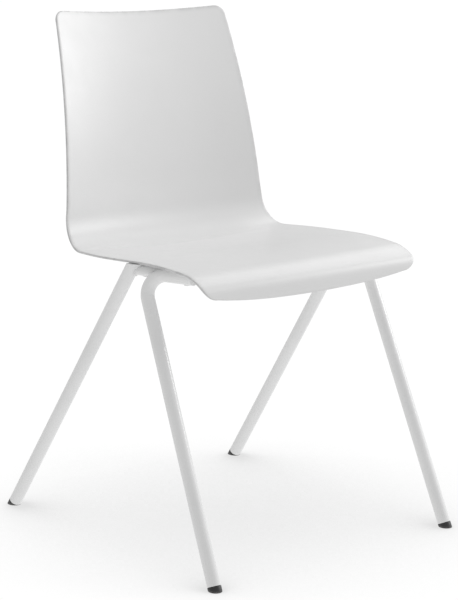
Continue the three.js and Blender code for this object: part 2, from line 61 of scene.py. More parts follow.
ALONG_X = np.array([1.0, 0.0, 0.0])


class Hand(Enum):
    """The sitter's two sides; the value is the sign of x."""

    LEFT = 1
    RIGHT = -1

    @property
    def word(self) -> str:
        """The side's name as the nodes spell it."""
        return self.name.lower()


class End(Enum):
    """The two ends of the seat; the value is the sign of y from a tube towards its fixings."""

    FRONT = 1
    REAR = -1

    @property
    def word(self) -> str:
        """The end's name as the nodes spell it."""
        return self.name.lower()

    @property
    def place(self) -> int:
        """The end's place in a pair of sizes: 0 for the front and 1 for the rear."""
        return 0 if self is End.FRONT else 1


class Slot(Enum):
    """The record's material slots."""

    SEAT = "seat_plastic"
    PAINT = "frame_paint"
    BLACK = "black_plastic"
    ZINC = "zinc_steel"
    BRASS = "brass"


# ---------------------------------------------------------------- vectors and meshes


def unit(vectors: Array) -> Array:
    """Vectors scaled to length one along the last axis."""
    return vectors / np.linalg.norm(vectors, axis=-1, keepdims=True)


def smoothstep(value: Array, low: float, high: float) -> Array:
    """Rises from 0 at low to 1 at high as 3t^2 - 2t^3."""
    t = np.clip((np.asarray(value, float) - low) / (high - low), 0, 1)
    return t * t * (3 - 2 * t)


def grid_quads(rows: int, columns: int, wrap_rows: bool, wrap_columns: bool) -> Array:
    """Corner indices of the quads of a grid of vertices stored row by row.

    Args:
        rows: Number of rows.
        columns: Number of vertices in a row.
        wrap_rows: Whether the last row joins the first.
        wrap_columns: Whether each row closes on itself.

    Returns:
        An array of shape (quads, 4).
    """
    i = np.arange(rows if wrap_rows else rows - 1)[:, None]
    j = np.arange(columns if wrap_columns else columns - 1)[None, :]
    below, above = i * columns, ((i + 1) % rows) * columns
    here, after = j, (j + 1) % columns
    corners = [below + here, below + after, above + after, above + here]
    return np.stack([np.broadcast_to(c, (i.size, j.size)).ravel() for c in corners], axis=1)


@dataclass
class Skin:
    """Vertices, quads, flat many-sided caps and wear values of one or more closed skins."""

    points: Array
    quads: Array
    caps: list = field(default_factory=list)
    wear: Array | None = None

    def __post_init__(self) -> None:
        """Gives every vertex no wear where none is stated."""
        if self.wear is None:
            self.wear = np.zeros(len(self.points))

    def joined(self, *others: "Skin") -> "Skin":
        """This skin and the others as one, each with its own vertices.

        Args:
            others: Skins to add.

        Returns:
            One skin that holds them all.
        """
        skins = [self, *others]
        starts = np.cumsum([0] + [len(s.points) for s in skins])[:-1]
        return Skin(
            np.concatenate([s.points for s in skins]),
            np.concatenate([s.quads + start for s, start in zip(skins, starts)]),
            [cap + start for s, start in zip(skins, starts) for cap in s.caps],
            np.concatenate([s.wear for s in skins]),
        )

    def facing_out(self) -> "Skin":
        """The skin with its faces turned over if they enclose a negative volume.

        Returns:
            The skin itself.
        """
        p = self.points
        q = self.quads
        volume = 0.0
        for a, b, c in ((0, 1, 2), (0, 2, 3)):
            corners = p[q[:, a]], p[q[:, b]], p[q[:, c]]
            volume += np.einsum("ij,ij->", corners[0], np.cross(corners[1], corners[2]))
        for cap in self.caps:
            fan = p[cap]
            first = np.broadcast_to(fan[0], fan[2:].shape)
            volume += np.einsum("ij,ij->", first, np.cross(fan[1:-1], fan[2:]))
        if volume < 0:
            self.quads = q[:, ::-1].copy()
            self.caps = [cap[::-1].copy() for cap in self.caps]
        return self

    @classmethod
    def from_rings(
        cls, rings: Array, wear: Array | list | None = None, closed: bool = False
    ) -> "Skin":
        """Rings of points, each joined to the next.

        Args:
            rings: Points of shape (rings, points on a ring, 3).
            wear: Wear of each ring, or None for no wear.
            closed: Whether the last ring joins the first. If not, flat caps close both ends.

        Returns:
            The closed skin, facing out.
        """
        rows, count = rings.shape[:2]
        ring = np.arange(count)
        caps = [] if closed else [ring[::-1].copy(), (rows - 1) * count + ring]
        rubbed = None if wear is None else np.repeat(wear, count)
        quads = grid_quads(rows, count, closed, True)
        return cls(rings.reshape(-1, 3), quads, caps, rubbed).facing_out()

    def to_object(self, name: str, crease: float = 40.0) -> bpy.types.Object:
        """Puts the skin into a mesh object at the origin.

        Args:
            name: Name of the piece.
            crease: Angle in degrees above which an edge is shaded sharp.

        Returns:
            The new object, linked to the scene.
        """
        mesh = bpy.data.meshes.new(name)
        loops = np.concatenate([self.quads.ravel(), *self.caps]).astype(np.int32)
        totals = np.concatenate([np.full(len(self.quads), 4), [len(c) for c in self.caps]])
        totals = totals.astype(np.int32)
        starts = np.concatenate([[0], np.cumsum(totals)[:-1]]).astype(np.int32)
        mesh.vertices.add(len(self.points))
        mesh.vertices.foreach_set("co", self.points.astype(np.float32).ravel())
        mesh.loops.add(len(loops))
        mesh.loops.foreach_set("vertex_index", loops)
        mesh.polygons.add(len(totals))
        mesh.polygons.foreach_set("loop_start", starts)
        mesh.polygons.foreach_set("loop_total", totals)
        mesh.update(calc_edges=True)
        mesh.validate()
        wear = mesh.attributes.new(WEAR_AND_SHADE, "FLOAT", "POINT")
        wear.data.foreach_set("value", np.clip(self.wear, 0, 1).astype(np.float32))
        mesh.shade_smooth()
        mesh.set_sharp_from_angle(angle=math.radians(crease))
        piece = bpy.data.objects.new(name, mesh)
        bpy.context.scene.collection.objects.link(piece)
        return piece


def frames(tangents: Array, across: Array) -> tuple[Array, Array]:
    """Two unit vectors square to each tangent, the first square to `across` as well."""
    side = unit(np.cross(tangents, across))
    return side, np.cross(side, tangents)


def rings_along(
    points: Array, tangents: Array, across: Array, radius: Array | float, sides: int = SIDES
) -> Array:
    """Circles square to a path: centre + radius (cos a * side + sin a * other).

    Args:
        points: Centres, one for each station of the path.
        tangents: Unit tangents at the stations, or one for all.
        across: A vector that is nowhere parallel to the path.
        radius: Radius of the circles, one for each station or one for all.
        sides: Number of points on a circle.

    Returns:
        An array of shape (stations, sides, 3).
    """
    side, other = frames(np.atleast_2d(tangents), across)
    angle = np.linspace(0, TURN, sides, endpoint=False)[None, :, None]
    spoke = np.cos(angle) * side[:, None] + np.sin(angle) * other[:, None]
    return points[:, None] + np.reshape(radius, (-1, 1, 1)) * spoke


def bent_path(corners: Array, radius: float, straight_steps: int = 8) -> tuple[Array, Array]:
    """Stations of straight runs joined by round bends.

    Each bend is an arc of the given radius that touches both runs: it starts
    radius * tan(half the turn) before the corner.

    Args:
        corners: Corner points, at least two.
        radius: Bend radius of the centre line.
        straight_steps: Steps in each straight run.

    Returns:
        The stations' points and unit tangents.
    """
    bend_steps = 24
    corners = np.asarray(corners, float)
    headings = unit(np.diff(corners, axis=0))
    points, tangents = [corners[:1]], [headings[:1]]
    for k, corner in enumerate(corners[1:-1]):
        before, after = headings[k], headings[k + 1]
        turn = math.acos(float(np.clip(before @ after, -1, 1)))
        start = corner - before * radius * math.tan(turn / 2)
        inward = unit(after - before * (before @ after))
        angle = np.linspace(0, turn, bend_steps + 1)[:, None]
        arc = start + radius * (np.sin(angle) * before + (1 - np.cos(angle)) * inward)
        add_run(points, tangents, start, before, straight_steps)
        points.append(arc[1:])
        tangents.append(np.cos(angle[1:]) * before + np.sin(angle[1:]) * inward)
    add_run(points, tangents, corners[-1], headings[-1], straight_steps)
    return np.concatenate(points), np.concatenate(tangents)


def add_run(points: list, tangents: list, end: Array, heading: Array, steps: int) -> None:
    """Adds the evenly spaced stations of a straight run from the last point to `end`.

    Args:
        points: Blocks of stations so far; one is added.
        tangents: Blocks of unit tangents so far; one is added.
        end: Last station of the run.
        heading: The run's unit direction.
        steps: Number of steps in the run.
    """
    last = points[-1][-1]
    t = np.linspace(0, 1, steps + 1)[1:, None]
    points.append(last + (end - last) * t)
    tangents.append(np.repeat(heading[None], steps, axis=0))


def to_cylinder(
    points: Array, heading: Array, centre: Array, axis: Array, radius: float
) -> Array:
    """Slides points along a heading until they meet a cylinder's near side.

    With the parts square to the axis written m (of point - centre) and n (of heading), the
    travel t solves |m + t n| = radius, and the smaller root is the near side.

    Args:
        points: Points to slide.
        heading: Unit direction of travel.
        centre: A point on the cylinder's axis.
        axis: Unit direction of the cylinder's axis.
        radius: Radius of the cylinder.

    Returns:
        The points on the cylinder.
    """
    m = (points - centre) - ((points - centre) @ axis)[..., None] * axis
    n = heading - (heading @ axis) * axis
    a, b = n @ n, m @ n
    c = np.einsum("...i,...i->...", m, m) - radius**2
    travel = (-b - np.sqrt(np.maximum(b * b - a * c, 0))) / a
    return points + travel[..., None] * heading


def to_plane(points: Array, heading: Array, origin: Array, normal: Array) -> Array:
    """Slides points along a heading until they lie in a plane."""
    travel = ((origin - points) @ normal) / (heading @ normal)
    return points + travel[..., None] * heading


def revolved(
    profile: Array, origin: Array, axis: Array, sides: int = SIDES, closed: bool = False
) -> Skin:
    """Turns a profile of (radius, height) points about an axis.

    Args:
        profile: Points of shape (n, 2), with no radius of zero.
        origin: Where height is zero.
        axis: Unit direction of growing height, away from the x axis.
        sides: Number of points on a circle.
        closed: Whether the profile is a closed outline. If not, flat caps close both ends.

    Returns:
        The closed skin.
    """
    centres = np.asarray(origin) + profile[:, 1:] * axis
    rings = rings_along(centres, axis, ALONG_X, profile[:, 0], sides)
    return Skin.from_rings(rings, closed=closed)


def rounded(corners: list, radius: float, closed: bool = False) -> Array:
    """Replaces the corners of a flat outline by curves that touch both sides of the corner.

    A curve starts and ends radius * tan(half the turn) from its corner, and no further than a
    set share of the shorter side: (1 - t)^2 start + 2 t (1 - t) corner + t^2 end.

    Args:
        corners: Points (x, y) of the outline.
        radius: Radius of the curves.
        closed: Whether the last point joins the first.

    Returns:
        The outline's points, of shape (n, 2).
    """
    steps, share = 5, 0.45
    p = np.asarray(corners, float)
    made = [] if closed else [p[:1]]
    for k in range(0 if closed else 1, len(p) if closed else len(p) - 1):
        back, ahead = p[k - 1] - p[k], p[(k + 1) % len(p)] - p[k]
        reach = min(np.linalg.norm(back), np.linalg.norm(ahead)) * share
        back, ahead = unit(back), unit(ahead)
        half = math.acos(float(np.clip(back @ ahead, -1, 1))) / 2
        setback = min(radius / math.tan(half), reach)
        start, end = p[k] + back * setback, p[k] + ahead * setback
        t = np.linspace(0, 1, steps + 1)[:, None]
        made.append((1 - t) ** 2 * start + 2 * t * (1 - t) * p[k] + t * t * end)
    if not closed:
        made.append(p[-1:])
    return np.concatenate(made)


# ---------------------------------------------------------------- finishes


class Graph:
    """Short hand for filling a node tree."""

    def __init__(self, tree: bpy.types.NodeTree) -> None:
        """Takes the tree and empties it."""
        self.tree = tree
        self.tree.nodes.clear()

    def node(self, kind: str, inputs: dict | None = None, **settings: object) -> bpy.types.Node:
        """Adds a node.

        Args:
            kind: The node's type, such as "ShaderNodeMath".
            inputs: Values or output sockets for its inputs, by name or number.
            settings: The node's own settings.

        Returns:
            The new node.
        """
        made = self.tree.nodes.new(kind)
        for key, value in settings.items():
            setattr(made, key, value)
        for key, value in (inputs or {}).items():
            if isinstance(value, bpy.types.NodeSocket):
                self.tree.links.new(value, made.inputs[key])
            else:
                made.inputs[key].default_value = value
        return made

    def math(self, operation: str, a: object, b: object = 0.0, clamp: bool = False) -> object:
        """The output of a Math node over two values or sockets.

        Args:
            operation: The node's operation.
            a: First value or socket.
            b: Second value or socket.
            clamp: Whether the result is held between 0 and 1.

        Returns:
            The node's output.
        """
        return self.node(
            "ShaderNodeMath", {0: a, 1: b}, operation=operation, use_clamp=clamp
        ).outputs[0]

    def mix(self, share: object, a: object, b: object) -> object:
        """The output of a colour mix from a to b; the numbers are its colour sockets."""
        return self.node("ShaderNodeMix", {0: share, 6: a, 7: b}, data_type="RGBA").outputs[2]

    def group(self, tree: bpy.types.NodeTree, **inputs: object) -> object:
        """The output of a shared node group placed here."""
        named = {key.replace("_", " "): value for key, value in inputs.items()}
        return self.node("ShaderNodeGroup", named, node_tree=tree).outputs[0]

    def noise(self, vector: object, scale: object, detail: float = 2.0) -> object:
        """The value of a Noise texture, about 0.5 on average.

        Args:
            vector: Socket of the coordinates.
            scale: Scale per metre, as a value or socket.
            detail: Number of finer layers.

        Returns:
            The node's output.
        """
        return self.node(
            "ShaderNodeTexNoise", {"Vector": vector, "Scale": scale, "Detail": detail}
        ).outputs[0]

    def ramp(
        self, value: object, low: float, high: float, to_low: float, to_high: float
    ) -> object:
        """The value moved from the range low..high to to_low..to_high and clamped there.

        Args:
            value: Socket to move.
            low: Start of its range.
            high: End of its range.
            to_low: Result at the start.
            to_high: Result at the end.

        Returns:
            The node's output.
        """
        ends = {"From Min": low, "From Max": high, "To Min": to_low, "To Max": to_high}
        return self.node("ShaderNodeMapRange", {"Value": value, **ends}).outputs[0]


def new_group(name: str, inputs: dict, output: tuple) -> tuple[Graph, object]:
    """Makes an empty shader node group.

    Args:
        name: The group's name.
        inputs: Default value of each input by name, or None for a vector.
        output: Name and socket type of the one output.

    Returns:
        The group's graph and the sockets of its inputs, by name.
    """
    kinds = {type(None): "NodeSocketVector", float: "NodeSocketFloat", tuple: "NodeSocketColor"}
    tree = bpy.data.node_groups.new(name, "ShaderNodeTree")
    for label, default in inputs.items():
        kind = kinds[type(default)]
        socket = tree.interface.new_socket(label, in_out="INPUT", socket_type=kind)
        if default is not None:
            socket.default_value = default
    tree.interface.new_socket(output[0], in_out="OUTPUT", socket_type=output[1])
    graph = Graph(tree)
    return graph, graph.node("NodeGroupInput").outputs


class Effects:
    """The node groups that the finishes share, each built once."""

    flow_scale, flow_share = 0.22, 0.35
    cloud_range, cloud_share = (0.3, 0.7), 0.8
    speck_scale, speck_range, speck_share = 60.0, (0.45, 0.75), 0.2
    patch_scale, patch_range, least_rub = 60.0, (0.3, 0.65), 0.35
    scratch_turns = ((0.5, (1.0, 14.0, 3.0)), (2.1, (12.0, 1.0, 2.0)))
    scratch_tilt = (0.3, 0.2)
    scratch_width = 0.006
    scratched_scale, scratched_range = 14.0, (0.5, 0.62)

    def __init__(self) -> None:
        """Builds the four groups."""
        self.texture = self.surface_texture()
        self.drift = self.colour_drift()
        self.rubbed = self.rubbed_places()
        self.scratches = self.fine_scratches()

    def surface_texture(self) -> bpy.types.NodeTree:
        """Height of a fine skin: one noise for the grain and a wider one for its flow.

        Returns:
            The node group.
        """
        graph, given = new_group(
            "surface_texture", {"Vector": None, "Scale": 900.0}, ("Height", "NodeSocketFloat")
        )
        fine = graph.noise(given["Vector"], given["Scale"], 3.0)
        wide_scale = graph.math("MULTIPLY", given["Scale"], self.flow_scale)
        wide = graph.noise(given["Vector"], wide_scale, 1.0)
        grain = graph.math("MULTIPLY", fine, 1 - self.flow_share)
        height = graph.math("ADD", grain, graph.math("MULTIPLY", wide, self.flow_share))
        graph.node("NodeGroupOutput", {0: height})
        return graph.tree

    def colour_drift(self) -> bpy.types.NodeTree:
        """Colour that wanders from one tone to another in broad soft clouds and fine specks.

        Returns:
            The node group.
        """
        inputs = {
            "Vector": None,
            "Tone": (0.8, 0.8, 0.8, 1),
            "Other Tone": (0.7, 0.7, 0.7, 1),
            "Scale": 8.0,
        }
        graph, given = new_group("colour_drift", inputs, ("Color", "NodeSocketColor"))
        clouds = graph.noise(given["Vector"], given["Scale"], 3.0)
        speck_scale = graph.math("MULTIPLY", given["Scale"], self.speck_scale)
        specks = graph.noise(given["Vector"], speck_scale, 1.0)
        share = graph.math(
            "ADD",
            graph.ramp(clouds, *self.cloud_range, 0.0, self.cloud_share),
            graph.ramp(specks, *self.speck_range, 0.0, self.speck_share),
        )
        graph.node("NodeGroupOutput", {0: graph.mix(share, given["Tone"], given["Other Tone"])})
        return graph.tree

    def rubbed_places(self) -> bpy.types.NodeTree:
        """Mask of rubbed places, and of painted shade along the shell's rim: the piece's wear
        value, broken up by noise.

        Returns:
            The node group.
        """
        graph, given = new_group(
            "rubbed_places", {"Vector": None, "Wear": 0.0}, ("Mask", "NodeSocketFloat")
        )
        patches = graph.noise(given["Vector"], self.patch_scale, 4.0)
        broken = graph.ramp(patches, *self.patch_range, self.least_rub, 1.0)
        graph.node("NodeGroupOutput", {0: graph.math("MULTIPLY", given["Wear"], broken)})
        return graph.tree

    def fine_scratches(self) -> bpy.types.NodeTree:
        """Mask of hairline scratches: thin level lines of two stretched noises, crossed.

        Returns:
            The node group.
        """
        graph, given = new_group(
            "fine_scratches", {"Vector": None, "Scale": 30.0}, ("Mask", "NodeSocketFloat")
        )
        lines = []
        for turn, stretch in self.scratch_turns:
            rotation = (*self.scratch_tilt, turn)
            turned = graph.node("ShaderNodeMapping", {
                "Vector": given["Vector"], "Rotation": rotation, "Scale": stretch
            }).outputs[0]
            level = graph.noise(turned, given["Scale"], 1.0)
            off = graph.math("ABSOLUTE", graph.math("SUBTRACT", level, 0.5))
            lines.append(graph.ramp(off, 0.0, self.scratch_width, 1.0, 0.0))
        scratched = graph.noise(given["Vector"], self.scratched_scale)
        where = graph.ramp(scratched, *self.scratched_range, 0.0, 1.0)
        crossed = graph.math("MAXIMUM", *lines)
        graph.node("NodeGroupOutput", {0: graph.math("MULTIPLY", crossed, where)})
        return graph.tree


@dataclass(frozen=True)
class Finish:
    """How a surface looks: tones, gloss, skin texture and wear, whose tone on the seat shell also
    paints shade along the rim.

    Scales are per metre and depths in metres.
    """

    slot: Slot
    tone: tuple
    other_tone: tuple
    worn_tone: tuple
    roughness: float
    roughness_swing: float
    texture_scale: float
    texture_depth: float
    metallic: float = 0.0
    coat: float = 0.0
    drift_scale: float = 8.0
    worn_roughness: float = 0.0
    scratch_gloss: float = 0.1
    dust_height: float = 0.0

    def material(self, effects: Effects) -> bpy.types.Material:
        """Builds the material from the shared effects.

        Args:
            effects: The shared node groups.

        Returns:
            The new material.
        """
        cloud_scale, scratch_scale, scratch_cut = 35.0, 30.0, 0.25
        made = bpy.data.materials.new(self.slot.value)
        made.use_nodes = True
        graph = Graph(made.node_tree)
        place = graph.node("ShaderNodeTexCoord").outputs["Object"]
        wear = graph.node("ShaderNodeAttribute", attribute_name=WEAR_AND_SHADE).outputs["Fac"]
        rubbed = graph.group(effects.rubbed, Vector=place, Wear=wear)
        marks = graph.group(effects.scratches, Vector=place, Scale=scratch_scale)
        height = graph.group(effects.texture, Vector=place, Scale=self.texture_scale)
        tones = {"Tone": (*self.tone, 1), "Other_Tone": (*self.other_tone, 1)}
        colour = graph.group(effects.drift, Vector=place, Scale=self.drift_scale, **tones)
        # On the seat shell this mix also paints shade along the rim: the dark tone there stands
        # for the rim's shaded edge.
        colour = graph.mix(rubbed, colour, (*self.worn_tone, 1))
        cloud = graph.noise(place, cloud_scale, 3.0)
        swing = self.roughness_swing
        rough = graph.ramp(cloud, 0.3, 0.7, self.roughness - swing, self.roughness + swing)
        rough = graph.math("ADD", rough, graph.math("MULTIPLY", rubbed, self.worn_roughness))
        rough = graph.math("ADD", rough, graph.math("MULTIPLY", marks, self.scratch_gloss), True)
        if self.dust_height:
            colour, rough = self.dusty(graph, place, colour, rough)
        lowered = graph.math("SUBTRACT", height, graph.math("MULTIPLY", marks, scratch_cut))
        bump = graph.node(
            "ShaderNodeBump", {"Strength": 1.0, "Distance": self.texture_depth, "Height": lowered}
        )
        shader = graph.node("ShaderNodeBsdfPrincipled", {
            "Base Color": colour, "Roughness": rough, "Normal": bump.outputs[0],
            "Metallic": self.metallic, "Coat Weight": self.coat,
        })
        graph.node("ShaderNodeOutputMaterial", {"Surface": shader.outputs[0]})
        return made

    def dusty(self, graph: Graph, place: object, colour: object, rough: object) -> tuple:
        """Greys and dulls the surface near the floor, in patches.

        Args:
            graph: The material's graph.
            place: Socket of the object coordinates.
            colour: Socket of the colour so far.
            rough: Socket of the roughness so far.

        Returns:
            The sockets of the dusty colour and roughness.
        """
        dust, most, patch_scale, dulling = (0.20, 0.19, 0.18, 1), 0.7, 220.0, 0.3
        level = graph.node("ShaderNodeSeparateXYZ", {0: place}).outputs["Z"]
        low = graph.ramp(level, 0.0, self.dust_height, most, 0.0)
        patches = graph.ramp(graph.noise(place, patch_scale, 3.0), 0.35, 0.7, 0.0, 1.0)
        share = graph.math("MULTIPLY", low, patches)
        dull = graph.math("MULTIPLY", share, dulling)
        return graph.mix(share, colour, dust), graph.math("ADD", rough, dull, True)


FINISHES = (
    Finish(
        Slot.SEAT,
        tone=(0.79, 0.79, 0.79),
        other_tone=(0.765, 0.765, 0.765),
        # This dark tone paints shade along the shell's rim and its near band; where one sits it
        # is the tone of real wear.
        worn_tone=(0.48, 0.48, 0.48),
        roughness=0.34,
        roughness_swing=0.04,
        texture_scale=1300.0,
        texture_depth=0.00006,
        drift_scale=5.0,
        worn_roughness=-0.10,
        scratch_gloss=0.10,
    ),
    Finish(
        Slot.PAINT,
        tone=(0.87, 0.87, 0.87),
        other_tone=(0.82, 0.822, 0.822),
        worn_tone=(0.60, 0.60, 0.60),
        roughness=0.27,
        roughness_swing=0.04,
        texture_scale=420.0,
        texture_depth=0.00003,
        coat=0.15,
        drift_scale=12.0,
        worn_roughness=0.18,
        scratch_gloss=0.18,
    ),
    Finish(
        Slot.BLACK,
        tone=(0.022, 0.022, 0.023),
        other_tone=(0.034, 0.034, 0.035),
        worn_tone=(0.075, 0.074, 0.072),
        roughness=0.40,
        roughness_swing=0.08,
        texture_scale=1500.0,
        texture_depth=0.00018,
        drift_scale=40.0,
        worn_roughness=0.15,
        scratch_gloss=0.2,
        dust_height=0.004,
    ),
    Finish(
        Slot.ZINC,
        tone=(0.60, 0.62, 0.65),
        other_tone=(0.68, 0.66, 0.60),
        worn_tone=(0.50, 0.50, 0.52),
        roughness=0.28,
        roughness_swing=0.08,
        texture_scale=2200.0,
        texture_depth=0.00005,
        metallic=1.0,
        drift_scale=90.0,
        worn_roughness=0.2,
        scratch_gloss=0.25,
    ),
    Finish(
        Slot.BRASS,
        tone=(0.66, 0.48, 0.20),
        other_tone=(0.56, 0.40, 0.17),
        worn_tone=(0.74, 0.58, 0.30),
        roughness=0.34,
        roughness_swing=0.08,
        texture_scale=2500.0,
        texture_depth=0.00004,
        metallic=1.0,
        drift_scale=120.0,
    ),
)


class Dresser:
    """Gives pieces their finish and body, hides the CAD nodes that they stand for and logs their
    sizes.
    """

    def __init__(self) -> None:
        """Builds one material for each finish."""
        effects = Effects()
        self.materials = {finish.slot: finish.material(effects) for finish in FINISHES}

    def place(
        self, skin: Skin, name: str, slot: Slot, *nodes: str, crease: float = 40.0
    ) -> None:
        """Makes a piece that stands for CAD nodes.

        Args:
            skin: The piece's surface.
            name: The piece's name.
            slot: The finish it takes.
            nodes: The CAD nodes that it stands for.
            crease: Angle in degrees above which an edge is shaded sharp.
        """
        piece = skin.to_object(name, crease)
        piece.data.materials.append(self.materials[slot])
        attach(piece, BODY)
        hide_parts(*nodes)
        corners = np.array([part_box(node) for node in nodes])
        low, high = corners[:, 0].min(0), corners[:, 1].max(0)
        over = max((low - skin.points.min(0)).max(), (skin.points.max(0) - high).max())
        short = max((skin.points.min(0) - low).max(), (high - skin.points.max(0)).max())
        LOG.info(
            "%s: %d faces, %.1f mm outside and %.1f mm inside its solid's box",
            name, len(skin.quads), 1000 * over, 1000 * short,
        )


# ---------------------------------------------------------------- shell


@dataclass(frozen=True)
class Shell:
    """The seat and back in one sheet, bent along a side profile and hollowed across.

    The profile is a chain of arcs through the reference point, where the flat run of the seat
    begins. Distances along it grow towards the back and are negative over the lip.
    """

    seat_height: float = 0.4778
    seat_front_y: float = -0.060
    seat_run: float = 0.165
    seat_slope: float = math.radians(2.4)
    bend_radius: float = 0.050
    bend_turn: float = math.radians(89.0)
    back_length: float = 0.347
    back_radius: float = 1.160
    crown_radius: float = 0.806
    crown_turn: float = math.radians(8.2)
    nose_radius: float = 0.092
    nose_turn: float = math.radians(27)
    lip_radius: float = 0.023
    lip_turn: float = math.radians(108)
    wall: float = 0.0036
    back_top_half_width: float = 0.179
    back_low_half_width: float = 0.211
    seat_back_half_width: float = 0.238
    seat_front_half_width: float = 0.2225
    narrowing: tuple = (0.105, 0.020)
    top_corner_radius: float = 0.018
    lip_corner_radius: float = 0.027
    lip_side_cut: float = 0.016
    hollow_radius: float = 0.790
    hollowing: tuple = (0.040, 0.060)
    seat_dish: float = 0.006
    blend_length: float = 0.014
    columns: int = 97

    @property
    def lip_links(self) -> list:
        """Length and curvature of the arcs from the reference point over the lip.

        Returns:
            Pairs of length and curvature, in order from the reference point.
        """
        return [
            (self.crown_radius * self.crown_turn, -1 / self.crown_radius),
            (self.nose_radius * self.nose_turn, -1 / self.nose_radius),
            (self.lip_radius * self.lip_turn, -1 / self.lip_radius),
        ]

    @property
    def bend_end(self) -> float:
        """Distance at which the bend between seat and back ends."""
        return self.seat_run + self.bend_radius * self.bend_turn

    @property
    def back_reach(self) -> float:
        """Distance of the top of the back."""
        return self.bend_end + self.back_length

    @property
    def lip_reach(self) -> float:
        """Length of the profile from the reference point to the lip's edge."""
        return sum(length for length, _ in self.lip_links)

    def profile(self) -> tuple[Array, Array, Array, Array]:
        """Distances, y, z and headings of the profile.

        The chain's curvature is softened by a raised-cosine window, so that light runs over
        the joins without a break. The heading is the running sum of curvature from a point on
        the flat run, and y and z are the running sums of its cosine and sine.

        Returns:
            Four arrays of the same length, in order of distance.
        """
        step, margin, anchor = 0.0005, 0.02, 0.05
        s = np.arange(-self.lip_reach - margin, self.back_reach + margin, step)
        curvature = np.zeros_like(s)
        reached = 0.0
        for length, value in self.lip_links:
            curvature[s < -reached] = value
            reached += length
        curvature[(s >= self.seat_run) & (s < self.bend_end)] = 1 / self.bend_radius
        curvature[s >= self.bend_end] = -1 / self.back_radius
        window = np.hanning(int(self.blend_length / step) | 1)
        padded = np.pad(curvature, len(window) // 2, mode="edge")
        curvature = np.convolve(padded, window / window.sum(), mode="valid")
        at_anchor = int(np.argmin(np.abs(s - anchor)))
        heading = np.cumsum(curvature) * step
        heading += -self.seat_slope - heading[at_anchor]
        y = np.cumsum(np.cos(heading)) * step
        z = np.cumsum(np.sin(heading)) * step
        y += self.seat_front_y + anchor * math.cos(self.seat_slope) - y[at_anchor]
        z += self.seat_height - anchor * math.sin(self.seat_slope) - z[at_anchor]
        return s, y, z, heading

    def half_width(self, s: Array) -> Array:
        """Half the width: two straight tapers, blended around the bend.

        Args:
            s: Distances along the profile.

        Returns:
            Half the width at each distance.
        """
        up = np.clip((s - self.bend_end) / self.back_length, 0, 1)
        low, top = self.back_low_half_width, self.back_top_half_width
        back = low + up * (top - low)
        along = (s + self.lip_reach) / (self.seat_run + self.lip_reach)
        seat = self.seat_front_half_width
        seat = seat + along * (self.seat_back_half_width - self.seat_front_half_width)
        lead, tail = self.narrowing
        return seat + (back - seat) * smoothstep(s, self.seat_run - lead, self.bend_end + tail)

    def hollow(self, s: Array, across: Array) -> Array:
        """How far the upper face lies behind its edges: an arc on the back, a dish on the seat.

        Args:
            s: Distances along the profile.
            across: Places across the width, from -1 to 1.

        Returns:
            Depths below the edges.
        """
        lead, tail = self.hollowing
        on_back = smoothstep(s, self.seat_run - lead, self.bend_end + tail)
        on_seat = smoothstep(s, -self.lip_reach, self.seat_run / 3) * (1 - on_back)
        flat = 1 - across**2
        back = self.half_width(s) ** 2 / (2 * self.hollow_radius) * flat
        return on_back * back + on_seat * self.seat_dish * flat**2

    def points(self, x: Array, s: Array, depth: float, table: tuple) -> Array:
        """Points of the sheet at offsets x, distances s and a depth below the upper face.

        Args:
            x: Offsets from the middle.
            s: Distances along the profile.
            depth: Depth below the upper face.
            table: The profile's distances, y, z and headings.

        Returns:
            Points, with x, y and z along the last axis.
        """
        at, y, z, heading = table
        turn = np.interp(s, at, heading)
        inset = self.hollow(s, x / self.half_width(s)) + depth
        return np.stack(
            [
                np.broadcast_to(x, s.shape),
                np.interp(s, at, y) + np.sin(turn) * inset,
                np.interp(s, at, z) - np.cos(turn) * inset,
            ],
            axis=-1,
        )

    def underside(self, x: float, y: float) -> float:
        """Height of the underside over a point of the seat.

        Args:
            x: Offset from the middle.
            y: Position from front to rear.

        Returns:
            The height.
        """
        table = self.profile()
        s = np.array([y - self.seat_front_y])
        for _ in range(4):
            found = self.points(np.array([x]), s, self.wall, table)
            s = s + y - found[:, 1]
        return float(found[0, 2])

    def rows(self, inset: float) -> Array:
        """Distances of the grid's rows, closing up by a cosine rule into the rounded corners.

        Args:
            inset: How far the first and last rows stand in from the edges.

        Returns:
            Distances, growing from the lip to the top of the back.
        """
        low, high = -self.lip_reach + inset, self.back_reach - inset
        lip_corner = -self.lip_reach + self.lip_corner_radius
        top_corner = self.back_reach - self.top_corner_radius
        angle = np.linspace(0, math.pi / 2, 15)
        runs = [
            (lip_corner, -self.lip_reach + self.lip_links[2][0], 8),
            (-self.lip_reach + self.lip_links[2][0], -self.lip_links[0][0], 16),
            (-self.lip_links[0][0], 0.0, 14),
            (0.0, self.seat_run - 0.01, 18),
            (self.seat_run - 0.01, self.bend_end + 0.01, 34),
            (self.bend_end + 0.01, top_corner, 44),
        ]
        parts = [lip_corner - (lip_corner - low) * np.cos(angle[:-1])]
        parts += [np.linspace(a, b, n, endpoint=False) for a, b, n in runs]
        parts.append(top_corner + (high - top_corner) * np.sin(angle))
        return np.concatenate(parts)

    def row_half_width(self, s: Array, inset: float) -> Array:
        """Half width of each row, drawn in by the circles of the rounded corners.

        Args:
            s: The rows' distances.
            inset: How far the rows stand in from the outline.

        Returns:
            Half the width of each row.
        """

        def cut(radius: float, distance: Array) -> Array:
            """Width that a quarter circle takes at a distance from the edge."""
            inside = np.clip(radius - distance, 0, radius)
            return radius - np.sqrt(radius**2 - inside**2)

        top = cut(self.top_corner_radius - inset, self.back_reach - inset - s)
        lip = cut(self.lip_corner_radius - inset, s + self.lip_reach - inset)
        return self.half_width(s) - inset - top - lip

